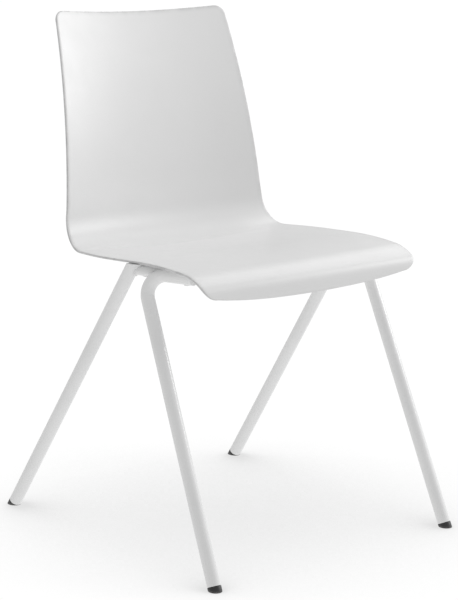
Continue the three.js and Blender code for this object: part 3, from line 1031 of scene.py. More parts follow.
    def sheet(self) -> Skin:
        """The sheet with a half-round rim.

        Two grids of points, above and below, stop half a wall short of the outline. Between
        their edges the rim is a half circle about the middle of the wall: centre + r (cos a *
        normal + sin a * outward), with the outward vector square to the edge's own direction.

        Returns:
            The closed skin.
        """
        radius = self.wall / 2
        table = self.profile()
        rows = self.rows(radius)
        across = np.linspace(-1, 1, self.columns)[None, :]
        x = across * self.row_half_width(rows, radius)[:, None]
        cut = self.lip_side_cut * smoothstep(-rows, 0, self.lip_reach)
        s = rows[:, None] + cut[:, None] * across**2
        upper = self.points(x, s, 0.0, table)
        lower = self.points(x, s, self.wall, table)
        n, m = x.shape
        index = np.arange(n * m).reshape(n, m)
        edge = np.concatenate([index[0, :-1], index[:-1, -1], index[-1, :0:-1], index[:0:-1, 0]])
        top, bottom = upper.reshape(-1, 3)[edge], lower.reshape(-1, 3)[edge]
        middle, normal = (top + bottom) / 2, unit(top - bottom)
        outward = unit(np.cross(np.roll(middle, -1, 0) - np.roll(middle, 1, 0), normal))
        steps = 8
        angle = np.linspace(0, math.pi, steps + 1)[1:-1, None, None]
        rim = middle + radius * (np.cos(angle) * normal + np.sin(angle) * outward)
        count = len(edge)
        loops = [edge]
        loops += [2 * n * m + k * count + np.arange(count) for k in range(steps - 1)]
        loops += [edge + n * m]
        quads = [grid_quads(n, m, False, False), grid_quads(n, m, False, False)[:, ::-1] + n * m]
        for a, b in zip(loops[:-1], loops[1:]):
            quads.append(np.stack([a, b, np.roll(b, -1), np.roll(a, -1)], axis=1))
        points = np.concatenate([upper.reshape(-1, 3), lower.reshape(-1, 3), rim.reshape(-1, 3)])
        return Skin(points, np.concatenate(quads), wear=self.wear(x, s, rim.size // 3))

    def wear(self, x: Array, s: Array, rim_count: int) -> Array:
        """Darkening along the rim, falling off within a few millimetres: painted shade for the
        rim's shaded edge, with some edge wear; slight real wear where one sits.

        Args:
            x: Offsets of the grid's points.
            s: Distances of the grid's points.
            rim_count: Number of points on the rim.

        Returns:
            Wear and painted rim shade of the upper points, the lower points and the rim, in that
            order.
        """
        rim_shade_reach, seat_middle, seat_half_width, seat_half_length = 0.005, 0.02, 0.13, 0.10
        to_side = self.half_width(s) - np.abs(x)
        to_end = np.minimum(s + self.lip_reach, self.back_reach - s)
        near = np.exp(-((np.minimum(to_side, to_end) / rim_shade_reach) ** 2))
        lengthwise = (s - seat_middle) / seat_half_length
        seat = np.exp(-((x / seat_half_width) ** 2) - lengthwise**2)
        # The rim and its near band are painted shade for the shaded edge, with some edge wear;
        # the patch where one sits is real wear.
        face = np.maximum(0.55 * near, 0.12 * seat).ravel()
        return np.concatenate([face, 0.3 * near.ravel(), np.full(rim_count, 0.75)])

    def boss(self, x: float, y: float, foot: float) -> Skin:
        """A moulded boss with a blind bore, flared where it grows out of the underside.

        Args:
            x: Offset of the screw.
            y: Position of the screw.
            foot: Height of the boss's lower face.

        Returns:
            The closed skin.
        """
        top = self.underside(x, y)
        sink = self.wall / 3
        outline = [
            (0.0046, foot + 0.0076), (0.0048, foot), (0.0090, foot), (0.0091, top - 0.003),
            (0.0096, top - 0.0012), (0.0112, top - 0.0003), (0.0130, top + sink),
        ]
        return revolved(rounded(outline, 0.0006), (x, y, 0), (0, 0, 1), 64)

    def build(self, dresser: Dresser, mounts: list) -> None:
        """Makes the shell with its four bosses.

        Args:
            dresser: Gives the pieces their finish and body.
            mounts: Where the bosses stand.
        """
        bosses = [self.boss(m.x, m.y, m.plate_top + m.gap) for m in mounts]
        skin = self.sheet().facing_out().joined(*bosses)
        dresser.place(skin, "moulded_shell", Slot.SEAT, "seat_shell", crease=55)


# ---------------------------------------------------------------- frame layout


@dataclass(frozen=True)
class Layout:
    """Axes of the frame's tubes, laid out from the feet and the seat's edge."""

    shell: Shell = Shell()
    leg: float = 0.022
    brace: float = 0.018
    wall: float = 0.0015
    gap: float = 0.0003
    leg_bend: float = 0.030
    hoop_bend: float = 0.045
    foot_half_width: float = 0.2482
    foot_y: tuple = (-0.2836, 0.2824)
    leg_top_half_width: float = 0.2306
    leg_top_y: tuple = (-0.0782, -0.0484)
    glide: tuple = (0.0076, 0.0093)
    front_toe_in: float = math.radians(25)
    side_toe_in: float = math.radians(34)
    rail_fall: float = 0.035
    front_rail_end_y: float = -0.161
    cross_y: float = -0.147
    cross_drop: float = 0.0015
    hoop_start_y: float = -0.070
    hoop_corner_half_width: float = 0.128
    hoop_rear_y: float = 0.058
    hoop_fall: float = 0.011
    cut_drop: float = 0.0002

    def rail_height(self, y: float, diameter: float) -> float:
        """Height of a rail's axis: the tube just clears the edge of the seat.

        Args:
            y: Position from front to rear.
            diameter: The tube's diameter.

        Returns:
            Height of the axis.
        """
        shell = self.shell
        edge = shell.seat_height - (y - shell.seat_front_y) * math.tan(shell.seat_slope)
        return edge - shell.wall - self.gap - diameter / 2

    def rail_heading(self, hand: Hand, toe_in: float) -> Array:
        """Direction of a rail that toes in and falls slightly towards the front."""
        return np.array([-hand.value * math.sin(toe_in), -math.cos(toe_in), -self.rail_fall])

    def leg_top(self, hand: Hand, end: End) -> Array:
        """Where a leg's axis meets the height of the rails."""
        y = self.leg_top_y[end.place]
        return np.array([hand.value * self.leg_top_half_width, y, self.rail_height(y, self.leg)])

    def leg_foot(self, hand: Hand, end: End) -> tuple[Array, Array]:
        """Square lower end of a leg's tube, and the unit direction up the leg.

        Args:
            hand: The sitter's side.
            end: The seat's end.

        Returns:
            The end point and the direction.
        """
        floor = np.array([hand.value * self.foot_half_width, self.foot_y[end.place], 0.0])
        up = unit(self.leg_top(hand, end) - floor)
        return floor + up * self.glide[end.place], up

    def front_rail(self, hand: Hand, y: float) -> Array:
        """Point at y on the axis of a front leg's rail."""
        start, heading = self.leg_top(hand, End.FRONT), self.rail_heading(hand, self.front_toe_in)
        return start + heading * (y - start[1]) / heading[1]

    def rear_leg_cut(self, hand: Hand) -> tuple[Array, Array]:
        """Plane, parallel to the seat, that cuts a rear leg's upper end.

        Args:
            hand: The sitter's side.

        Returns:
            The plane's point and unit normal.
        """
        slope = self.shell.seat_slope
        normal = np.array([0.0, math.sin(slope), math.cos(slope)])
        return self.leg_top(hand, End.REAR) + normal * (self.leg / 2 - self.cut_drop), normal

    def side_rail(self, hand: Hand, y: float) -> Array:
        """Point at y on the axis of a side rail.

        Args:
            hand: The sitter's side.
            y: Position from front to rear.

        Returns:
            The point.
        """
        start = self.leg_top(hand, End.REAR)
        start[2] = self.rail_height(start[1], self.brace)
        heading = self.rail_heading(hand, self.side_toe_in)
        return start + heading * (y - start[1]) / heading[1]

    @property
    def cross_z(self) -> float:
        """Height of the front cross tube's axis."""
        return self.side_rail(Hand.LEFT, self.cross_y)[2] - self.cross_drop

    @property
    def hoop_z(self) -> float:
        """Height of the rear hoop's crossing."""
        return self.side_rail(Hand.LEFT, self.hoop_start_y)[2] - self.hoop_fall


@dataclass(frozen=True)
class Rod:
    """The outside of a tube that another tube meets: a point on its axis, direction, radius."""

    centre: Array
    axis: Array
    radius: float

    def meet(self, rings: Array, heading: Array) -> Array:
        """Slides a ring along a heading onto this tube."""
        return to_cylinder(rings, heading, self.centre, self.axis, self.radius)

    def outward(self, points: Array) -> Array:
        """Unit vectors square to the tube's surface at the points."""
        off = points - self.centre
        return unit(off - (off @ self.axis)[..., None] * self.axis)


@dataclass
class BentTube:
    """A round tube with a bore, along stations of a path, each end square or coped."""

    points: Array
    tangents: Array
    across: Array
    radius: float
    wall: float
    start_rod: Rod | None = None
    end_rod: Rod | None = None
    top_plane: tuple | None = None

    def rings(self, radius: float) -> Array:
        """Circles along the path, with the coped ends slid onto their neighbours.

        Args:
            radius: Radius of the outside or of the bore.

        Returns:
            An array of shape (stations, sides, 3).
        """
        made = rings_along(self.points, self.tangents, self.across, radius, SIDES)
        if self.start_rod:
            made[0] = self.start_rod.meet(made[1], -self.tangents[0])
        if self.end_rod:
            made[-1] = self.end_rod.meet(made[-2], self.tangents[-1])
        if self.top_plane:
            made[-1] = to_plane(made[-1], self.tangents[-1], *self.top_plane)
        return made

    def skin(self, wear: Array | None = None) -> Skin:
        """The tube's outside and bore as one closed skin.

        Args:
            wear: Wear of the outside at each station.

        Returns:
            The skin.
        """
        outer, inner = self.rings(self.radius), self.rings(self.radius - self.wall)
        rubbed = np.zeros(2 * len(outer))
        if wear is not None:
            rubbed[: len(outer)] = wear
        return Skin.from_rings(np.concatenate([outer, inner[::-1]]), rubbed, closed=True)


@dataclass(frozen=True)
class WeldBead:
    """A rippled bead of weld metal laid along a closed seam."""

    radius: float = 0.0021
    ripple: float = 0.0019
    ripple_depth: float = 0.13
    ripple_stations: int = 6
    sides: int = 12
    wanders: tuple = ((0.06, 3, 0), (0.04, 7, 1))
    wear: float = 0.12

    def skin(self, seam: Array, outward: Array) -> Skin:
        """Rings about the seam whose radius swells and shrinks with the ripples.

        The seam is first stepped evenly. The radius is r (1 + d (frac(k u) - 1/2) + w): a
        sawtooth with one tooth for each ripple, so that the scales lie over each other, and w, a
        sum of two slow sine waves.

        Args:
            seam: Points of the closed seam.
            outward: Unit vectors square to the main tube at those points.

        Returns:
            The bead.
        """
        closed = np.concatenate([seam, seam[:1]])
        normals = np.concatenate([outward, outward[:1]])
        run = np.concatenate([[0], np.cumsum(np.linalg.norm(np.diff(closed, axis=0), axis=1))])
        ripples = max(int(run[-1] / self.ripple), 8)
        u = np.linspace(0, 1, ripples * self.ripple_stations, endpoint=False)
        at = u * run[-1]
        points = np.stack([np.interp(at, run, closed[:, k]) for k in range(3)], axis=1)
        normal = unit(np.stack([np.interp(at, run, normals[:, k]) for k in range(3)], axis=1))
        for _ in range(3):
            points = (np.roll(points, 1, 0) + 2 * points + np.roll(points, -1, 0)) / 4
        tangent = unit(np.roll(points, -1, 0) - np.roll(points, 1, 0))
        tooth = (u * ripples) % 1 - 0.5
        wander = sum(size * np.sin(TURN * waves * u + lag) for size, waves, lag in self.wanders)
        radius = self.radius * (1 + self.ripple_depth * tooth + wander)
        rings = rings_along(points, tangent, normal, radius, self.sides)
        return Skin.from_rings(rings, np.full(len(rings), self.wear), closed=True)


def straight_run(start: Array, end: Array, clear: float) -> tuple[Array, Array]:
    """Stations of a straight tube, with none inside its ends nearer than `clear`.

    Args:
        start: First station.
        end: Last station.
        clear: Least distance from either end to the next station.

    Returns:
        The stations' points and unit tangents.
    """
    step, fewest = 0.02, 4
    length = float(np.linalg.norm(end - start))
    inner = np.linspace(clear, length - clear, max(int(length / step), fewest))
    at = np.concatenate([[0], inner, [length]])
    heading = (end - start) / length
    return start + at[:, None] * heading, np.repeat(heading[None], len(at), axis=0)


@dataclass(frozen=True)
class Mount:
    """One of the four points where the shell is screwed down to the frame."""

    end: End
    hand: Hand
    x: float
    tube_y: float
    tube_z: float
    reach: float = 0.023
    plate_thickness: float = 0.004
    gap: float = 0.0003

    @property
    def name(self) -> str:
        """The mount's name as the nodes spell it."""
        return f"{self.end.word}_{self.hand.word}"

    @property
    def y(self) -> float:
        """Position of the screw."""
        return self.tube_y + self.end.value * self.reach

    @property
    def plate_top(self) -> float:
        """Height of the plate's upper face."""
        return self.tube_z + self.plate_thickness / 2


def mounts_of(layout: Layout) -> list[Mount]:
    """The two mounts on the cross tube and the two on the hoop.

    Args:
        layout: The frame's layout.

    Returns:
        The four mounts.
    """
    spots = (
        (End.FRONT, 0.095, layout.cross_y, layout.cross_z),
        (End.REAR, 0.080, layout.hoop_rear_y, layout.hoop_z),
    )
    return [
        Mount(end, hand, hand.value * half_spacing, y, z)
        for end, half_spacing, y, z in spots
        for hand in Hand
    ]


@dataclass(frozen=True)
class TubeFrame:
    """The welded frame: four legs, two side rails, the cross tube and the rear hoop."""

    layout: Layout
    clear: float = 0.020
    leg_clear: float = 0.016
    leg_rub: tuple = (0.10, 0.05)
    front_rub_height: float = 0.36
    rear_rub_height: float = 0.30
    bead: WeldBead = WeldBead()

    def rod(self, centre: Array, heading: Array, diameter: float) -> Rod:
        """Outside of a tube with the fitting gap."""
        return Rod(centre, unit(heading), diameter / 2 + self.layout.gap)

    def front_rail_rod(self, hand: Hand) -> Rod:
        """Outside of a front leg's rail with the fitting gap.

        Args:
            hand: The sitter's side.

        Returns:
            The rod.
        """
        lay = self.layout
        heading = lay.rail_heading(hand, lay.front_toe_in)
        return self.rod(lay.front_rail(hand, lay.cross_y), heading, lay.leg)

    def side_rail_rod(self, hand: Hand) -> Rod:
        """Outside of a side rail with the fitting gap.

        Args:
            hand: The sitter's side.

        Returns:
            The rod.
        """
        lay = self.layout
        heading = lay.rail_heading(hand, lay.side_toe_in)
        return self.rod(lay.side_rail(hand, lay.hoop_start_y), heading, lay.brace)

    def welded(self, tube: BentTube) -> Skin:
        """A tube that is coped at both ends, with a weld bead around each.

        Args:
            tube: A tube that meets a rod at either end.

        Returns:
            Tube and beads as one skin.
        """
        rings = tube.rings(tube.radius)
        seams = ((rings[0], tube.start_rod), (rings[-1], tube.end_rod))
        beads = [self.bead.skin(ring, rod.outward(ring)) for ring, rod in seams]
        return tube.skin().joined(*beads)

    def rub(self, points: Array, height: float) -> Array:
        """Wear of a leg about a height, where stacked chairs touch."""
        most, reach = self.leg_rub
        return most * np.exp(-(((points[:, 2] - height) / reach) ** 2))

    def front_leg(self, dresser: Dresser, hand: Hand) -> None:
        """A front leg that rises to its bend and runs forward under the seat as a rail.

        Args:
            dresser: Gives the pieces their finish and body.
            hand: The sitter's side.
        """
        lay = self.layout
        foot, _ = lay.leg_foot(hand, End.FRONT)
        rail_end = lay.front_rail(hand, lay.front_rail_end_y)
        corners = [foot, lay.leg_top(hand, End.FRONT), rail_end]
        points, tangents = bent_path(corners, lay.leg_bend, 14)
        tube = BentTube(points, tangents, ALONG_X, lay.leg / 2, lay.wall)
        rub = self.rub(points, self.front_rub_height)
        name = f"front_{hand.word}_leg"
        dresser.place(tube.skin(rub), f"{name}_tube", Slot.PAINT, name)

    def rear_leg(self, dresser: Dresser, hand: Hand) -> None:
        """A straight rear leg, cut off parallel to the seat just below it.

        Args:
            dresser: Gives the pieces their finish and body.
            hand: The sitter's side.
        """
        lay = self.layout
        foot, up = lay.leg_foot(hand, End.REAR)
        plane = lay.rear_leg_cut(hand)
        end = to_plane(foot[None], up, *plane)[0]
        points, tangents = straight_run(foot, end, self.leg_clear)
        tube = BentTube(points, tangents, ALONG_X, lay.leg / 2, lay.wall, top_plane=plane)
        name = f"rear_{hand.word}_leg"
        rub = self.rub(points, self.rear_rub_height)
        dresser.place(tube.skin(rub), f"{name}_tube", Slot.PAINT, name)

    def side_rail(self, dresser: Dresser, hand: Hand) -> None:
        """A side rail, coped to the rear leg and to the cross tube and welded at both.

        Args:
            dresser: Gives the pieces their finish and body.
            hand: The sitter's side.
        """
        lay = self.layout
        start = lay.side_rail(hand, lay.leg_top_y[End.REAR.place])
        end = lay.side_rail(hand, lay.cross_y)
        points, tangents = straight_run(start, end, self.clear)
        behind = self.rod(*lay.leg_foot(hand, End.REAR), lay.leg)
        ahead = self.rod(np.array([0.0, lay.cross_y, lay.cross_z]), ALONG_X, lay.brace)
        tube = BentTube(points, tangents, UP, lay.brace / 2, lay.wall, behind, ahead)
        name = f"{hand.word}_side_rail"
        dresser.place(self.welded(tube), f"{name}_tube", Slot.PAINT, name)

    def cross_tube(self, dresser: Dresser) -> None:
        """The front cross tube, welded between the two front rails.

        Args:
            dresser: Gives the pieces their finish and body.
        """
        lay = self.layout
        reach = lay.front_rail(Hand.LEFT, lay.cross_y)[0]
        ends = [np.array([side * reach, lay.cross_y, lay.cross_z]) for side in (-1, 1)]
        points, tangents = straight_run(*ends, self.clear)
        rods = self.front_rail_rod(Hand.RIGHT), self.front_rail_rod(Hand.LEFT)
        tube = BentTube(points, tangents, UP, lay.brace / 2, lay.wall, *rods)
        dresser.place(
            self.welded(tube), "front_cross_tube_body", Slot.PAINT, "front_cross_tube"
        )

    def hoop(self, dresser: Dresser) -> None:
        """The bent rear hoop, welded to the insides of the side rails.

        Args:
            dresser: Gives the pieces their finish and body.
        """
        lay = self.layout
        ends = [lay.side_rail(hand, lay.hoop_start_y) for hand in (Hand.RIGHT, Hand.LEFT)]
        bends = [
            np.array([side * lay.hoop_corner_half_width, lay.hoop_rear_y, lay.hoop_z])
            for side in (-1, 1)
        ]
        points, tangents = bent_path([ends[0], *bends, ends[1]], lay.hoop_bend, 10)
        reach = np.minimum(*(np.linalg.norm(points - end, axis=1) for end in ends))
        keep = (reach > self.clear) | (reach < 1e-9)
        rods = self.side_rail_rod(Hand.RIGHT), self.side_rail_rod(Hand.LEFT)
        tube = BentTube(points[keep], tangents[keep], UP, lay.brace / 2, lay.wall, *rods)
        dresser.place(self.welded(tube), "rear_seat_hoop_body", Slot.PAINT, "rear_seat_hoop")

    def build(self, dresser: Dresser) -> None:
        """Makes all the tubes.

        Args:
            dresser: Gives the pieces their finish and body.
        """
        for hand in Hand:
            self.front_leg(dresser, hand)
            self.rear_leg(dresser, hand)
            self.side_rail(dresser, hand)
        self.cross_tube(dresser)
        self.hoop(dresser)


# ---------------------------------------------------------------- seat fixings


@dataclass(frozen=True)
class Fixing:
    """What holds the shell at one mount: plate, insert, screw and washer."""

    mount: Mount
    tube_radius: float = 0.009
    plate_width: float = 0.034
    plate_edge: float = 0.0006
    hole_radius: float = 0.00335
    insert: tuple = (0.0033, 0.0045, 0.007)
    washer: tuple = (0.00335, 0.007, 0.0014)
    screw_radius: float = 0.003
    thread_pitch: float = 0.001
    thread_depth: float = 0.0006
    head: tuple = (0.0055, 0.004)
    head_dome: tuple = (
        (1.0, 0.42), (0.985, 0.58), (0.93, 0.76), (0.84, 0.90), (0.72, 0.98), (0.62, 1.0)
    )
    socket: float = 0.004
    socket_depth: float = 0.0025
    socket_tip: float = 0.0002
    ease: float = 0.0003
    knurls: int = 24
    knurl_depth: float = 0.035

    @property
    def place(self) -> Array:
        """Centre of the screw hole on the plate's upper face."""
        return np.array([self.mount.x, self.mount.y, self.mount.plate_top])

    def plate_outline(self) -> Array:
        """Outline around the hole: a half circle, then straight sides to the tube's flank.

        Returns:
            Points (x, y) about the hole.
        """
        half = self.plate_width / 2
        flank = math.sqrt(self.tube_radius**2 - self.mount.plate_thickness**2 / 4)
        tail = self.mount.reach - flank - self.mount.gap
        end = np.linspace(0, math.pi, 41)[:, None]
        round_end = half * np.concatenate([np.cos(end), np.sin(end)], axis=1)
        down = np.linspace(0, -tail, 9)[1:, None]
        left = np.concatenate([np.full_like(down, -half), down], axis=1)
        over = np.linspace(-half, half, 17)[1:, None]
        back = np.concatenate([over, np.full_like(over, -tail)], axis=1)
        up = down[::-1][1:]
        right = np.concatenate([np.full_like(up, half), up], axis=1)
        outline = np.concatenate([round_end, left, back, right])
        outline[:, 1] *= self.mount.end.value
        return outline

    def plate(self, dresser: Dresser) -> None:
        """A flat lug with eased edges and a screw hole, welded to its tube.

        The slab is a closed cross-section carried round the hole. Its inner points lie on the
        hole's circle and its outer points on the outline.

        Args:
            dresser: Gives the pieces their finish and body.
        """
        outline = self.plate_outline()
        hole = unit(outline) * self.hole_radius
        thick, ease = self.mount.plate_thickness, self.plate_edge
        inner = [(0, -thick + ease), (0, -ease), (ease, 0)]
        outer = [
            (-ease, 0), (-0.3 * ease, -0.3 * ease), (0, -ease), (0, -thick + ease),
            (-0.3 * ease, -thick + 0.3 * ease), (-ease, -thick),
        ]
        last = [(ease, -thick)]
        rows = []
        for edge, base in ((inner, hole), (outer, outline), (last, hole)):
            for step, height in edge:
                row = base + unit(base) * step
                rows.append(np.concatenate([row, np.full((len(row), 1), height)], axis=1))
        wear = [0, 0.2, 0.3, 0.3, 0.4, 0.2, 0.2, 0.4, 0.3, 0.3]
        slab = Skin.from_rings(np.array(rows) + self.place, wear, closed=True)
        name = f"{self.mount.name}_mount_plate"
        dresser.place(slab.joined(self.plate_weld()), f"{name}_lug", Slot.PAINT, name)

    def plate_weld(self) -> Skin:
        """The bead around the plate's tail, where it meets the side of the tube.

        Returns:
            The bead.
        """
        half, lift = self.plate_width / 2 - 0.0015, self.mount.plate_thickness / 2
        x = np.linspace(-half, half, 30)
        z = np.linspace(-lift, lift, 5)[1:-1]
        seam = np.concatenate([
            np.stack([x, np.full_like(x, lift)], axis=1),
            np.stack([np.full_like(z, half), z[::-1]], axis=1),
            np.stack([x[::-1], np.full_like(x, -lift)], axis=1),
            np.stack([np.full_like(z, -half), z], axis=1),
        ])
        out = self.mount.end.value * np.sqrt(self.tube_radius**2 - seam[:, 1] ** 2)
        radial = np.stack([np.zeros_like(out), out, seam[:, 1]], axis=1)
        centre = np.array([self.mount.x, self.mount.tube_y, self.mount.tube_z])
        points = centre + radial + seam[:, :1] * ALONG_X
        return WeldBead(radius=0.0014).skin(points, unit(radial))

    def threaded_insert(self, dresser: Dresser) -> None:
        """A brass bush with eased rims and a knurled outside.

        Args:
            dresser: Gives the pieces their finish and body.
        """
        bore, radius, length = self.insert
        outline = [
            (bore, 0), (radius, 0), (radius, length * 0.45), (radius * 0.95, length * 0.5),
            (radius, length * 0.55), (radius, length), (bore, length),
        ]
        origin = self.place + UP * self.mount.gap
        skin = revolved(rounded(outline, self.ease, True), origin, UP, 4 * self.knurls, True)
        off = skin.points - origin
        reach = np.linalg.norm(off[:, :2], axis=1)
        angle = np.arctan2(off[:, 1], off[:, 0])
        wave = 0.5 + 0.5 * np.cos(self.knurls * angle)
        knurl = 1 - self.knurl_depth * smoothstep(reach, radius * 0.9, radius) * wave
        skin.points[:, :2] = origin[:2] + off[:, :2] * knurl[:, None]
        name = f"{self.mount.name}_insert"
        dresser.place(skin, f"{name}_bush", Slot.BRASS, name)

    def flat_washer(self, dresser: Dresser) -> None:
        """A stamped washer with eased edges.

        Args:
            dresser: Gives the pieces their finish and body.
        """
        bore, radius, height = self.washer
        outline = [(bore, 0), (radius, 0), (radius, height), (bore, height)]
        drop = self.mount.plate_thickness + self.mount.gap + height
        profile = rounded(outline, self.ease, closed=True)
        skin = revolved(profile, self.place - UP * drop, UP, 64, closed=True)
        name = f"{self.mount.name}_washer"
        dresser.place(skin, f"{name}_disc", Slot.ZINC, name)

    def screw(self, dresser: Dresser) -> None:
        """A cap screw from below: threaded shank, domed head and hexagon socket.

        The shank's radius follows a triangle wave of height plus angle, which makes a helix.
        The socket's outline is the hexagon's flat distance over the cosine of the angle from
        the middle of the nearest flat.

        Args:
            dresser: Gives the pieces their finish and body.
        """
        angle = np.linspace(0, TURN, SIDES, endpoint=False)
        top = self.mount.gap + self.insert[2]
        seat = -self.mount.plate_thickness - self.washer[2] - 2 * self.mount.gap
        radius, tall = self.head
        shank, lead, edge = self.screw_radius, 0.0008, 0.0004
        z = np.arange(top - lead, seat + lead, -self.thread_pitch / 4)[:, None]
        phase = (z / self.thread_pitch + angle / TURN) % 1
        thread = shank - self.thread_depth * np.abs(2 * phase - 1)
        flat = (angle + math.pi / 6) % (math.pi / 3) - math.pi / 6
        hexagon = self.socket / 2 / np.cos(flat)
        face = seat - tall
        rows = [
            (shank - 0.0012, top), (shank - 0.0010, top - 0.0002),
            *zip(thread, z[:, 0]),
            (shank, seat + 0.0003), (shank, seat), (radius - edge, seat), (radius, seat - edge),
            *((radius * across, seat - tall * down) for across, down in self.head_dome),
            (hexagon * 1.08, face), (hexagon, face + self.socket_tip),
            (hexagon, face + self.socket_depth),
            (hexagon * 0.3, face + self.socket_depth + self.socket_tip),
        ]
        grid = np.stack([
            np.stack([r * np.cos(angle), r * np.sin(angle), np.full(SIDES, h)], axis=1)
            for r, h in rows
        ])
        skin = Skin.from_rings(grid + self.place)
        name = f"{self.mount.name}_screw"
        dresser.place(skin, f"{name}_cap_screw", Slot.ZINC, name, crease=30)

    def build(self, dresser: Dresser) -> None:
        """Makes the four pieces.

        Args:
            dresser: Gives the pieces their finish and body.
        """
        self.plate(dresser)
        self.threaded_insert(dresser)
        self.flat_washer(dresser)
        self.screw(dresser)


# ---------------------------------------------------------------- plastic fittings


@dataclass(frozen=True)
class Glide:
    """The plastic foot of a leg: a stem in the bore and a collar cut level by the floor."""

    hand: Hand
    end: End
    layout: Layout
    stem_length: float = 0.022
    chamfer: float = 0.002
    edge: float = 0.0006
    groove: float = 0.00035
    sole: tuple = ((0.0, 0.0010), (0.0, 0.0006), (0.0002, 0.00025), (0.0008, 0.0))
    wear: tuple = (0.0,) * 7 + (0.1, 0.2, 0.1, 0.2, 0.5, 0.9, 0.7)

    def skin(self) -> Skin:
        """Rings down the stem and collar; the last ones slide along the axis to the floor.

        Returns:
            The closed skin.
        """
        foot, up = self.layout.leg_foot(self.hand, self.end)
        collar = self.layout.leg / 2
        stem = collar - self.layout.wall - self.layout.gap
        gap, edge, groove = self.layout.gap, self.edge, self.groove
        profile = [
            (stem - self.chamfer, self.stem_length), (stem, self.stem_length - self.chamfer),
            (stem, 0.012), (stem - groove, 0.0115), (stem - groove, 0.0095), (stem, 0.009),
            (stem, -gap), (collar - edge, -gap), (collar - 0.3 * edge, -gap - 0.3 * edge),
            (collar, -gap - edge),
        ]
        radii, heights = np.array(profile).T
        rings = list(rings_along(foot + up * heights[:, None], up, ALONG_X, radii))
        for inset, height in self.sole:
            ring = rings_along(foot[None], up, ALONG_X, collar - inset)[0]
            rings.append(to_plane(ring, up, UP * height, UP))
        return Skin.from_rings(np.array(rings), self.wear)

    def build(self, dresser: Dresser) -> None:
        """Makes the glide."""
        name = f"{self.end.word}_{self.hand.word}_glide"
        dresser.place(self.skin(), f"{name}_foot", Slot.BLACK, name)


@dataclass(frozen=True)
class RailPlug:
    """The ribbed plastic plug in the open front end of a front rail."""

    hand: Hand
    layout: Layout
    stem_length: float = 0.014
    flange: float = 0.002
    rib: float = 0.0004
    rib_starts: tuple = (-0.0105, -0.0075, -0.0045)

    def build(self, dresser: Dresser) -> None:
        """Makes the plug: ribbed stem, flange and slightly domed face.

        Args:
            dresser: Gives the pieces their finish and body.
        """
        lay = self.layout
        radius = lay.leg / 2
        stem = radius - lay.wall - lay.gap
        root = stem - self.rib
        end = lay.front_rail(self.hand, lay.front_rail_end_y)
        out = unit(lay.rail_heading(self.hand, lay.front_toe_in))
        profile = [(stem - 0.002, -self.stem_length), (root, -self.stem_length + 0.002)]
        for start in self.rib_starts:
            profile += [
                (root, start), (stem, start + 0.0003),
                (stem, start + 0.0012), (root, start + 0.0015),
            ]
        face = lay.gap + self.flange
        profile += [
            (root, lay.gap), (radius - 0.0002, lay.gap), (radius, lay.gap + 0.0003),
            (radius, lay.gap + 0.0010), (radius - 0.0004, face - 0.0005),
            (radius - 0.0011, face - 0.0002), (radius - 0.0024, face - 0.0001),
            (radius * 0.4, face),
        ]
        name = f"front_{self.hand.word}_rail_plug"
        dresser.place(revolved(np.array(profile), end, out), f"{name}_cap", Slot.SEAT, name)


@dataclass(frozen=True)
class RearLegCap:
    """The plastic cap in a rear leg's upper end, cut level with the tube."""

    hand: Hand
    layout: Layout
    depth: float = 0.012
    ease: float = 0.0007

    def build(self, dresser: Dresser) -> None:
        """Makes the cap: the upper rings slide up the axis to the plane of the cut.

        Args:
            dresser: Gives the pieces their finish and body.
        """
        lay = self.layout
        origin, normal = lay.rear_leg_cut(self.hand)
        top = lay.leg_top(self.hand, End.REAR)
        _, up = lay.leg_foot(self.hand, End.REAR)
        radius = lay.leg / 2 - lay.wall - lay.gap
        low = top - up * self.depth

        def ring(inset: float, height: float) -> Array:
            """Circle about the axis at a height over the cap's lower end."""
            return rings_along((low + up * height)[None], up, ALONG_X, radius - inset)[0]

        rows = [ring(self.ease, 0), ring(0.3 * self.ease, 0.3 * self.ease), ring(0, self.ease)]
        for inset, drop in ((0, 1.0), (0.3, 0.3), (1.0, 0.0), (8.0, 0.4)):
            level = origin - normal * drop * self.ease
            rows.append(to_plane(ring(inset * self.ease, 0), up, level, normal))
        skin = Skin.from_rings(np.array(rows))
        name = f"rear_{self.hand.word}_leg_cap"
        dresser.place(skin, f"{name}_disc", Slot.SEAT, name)


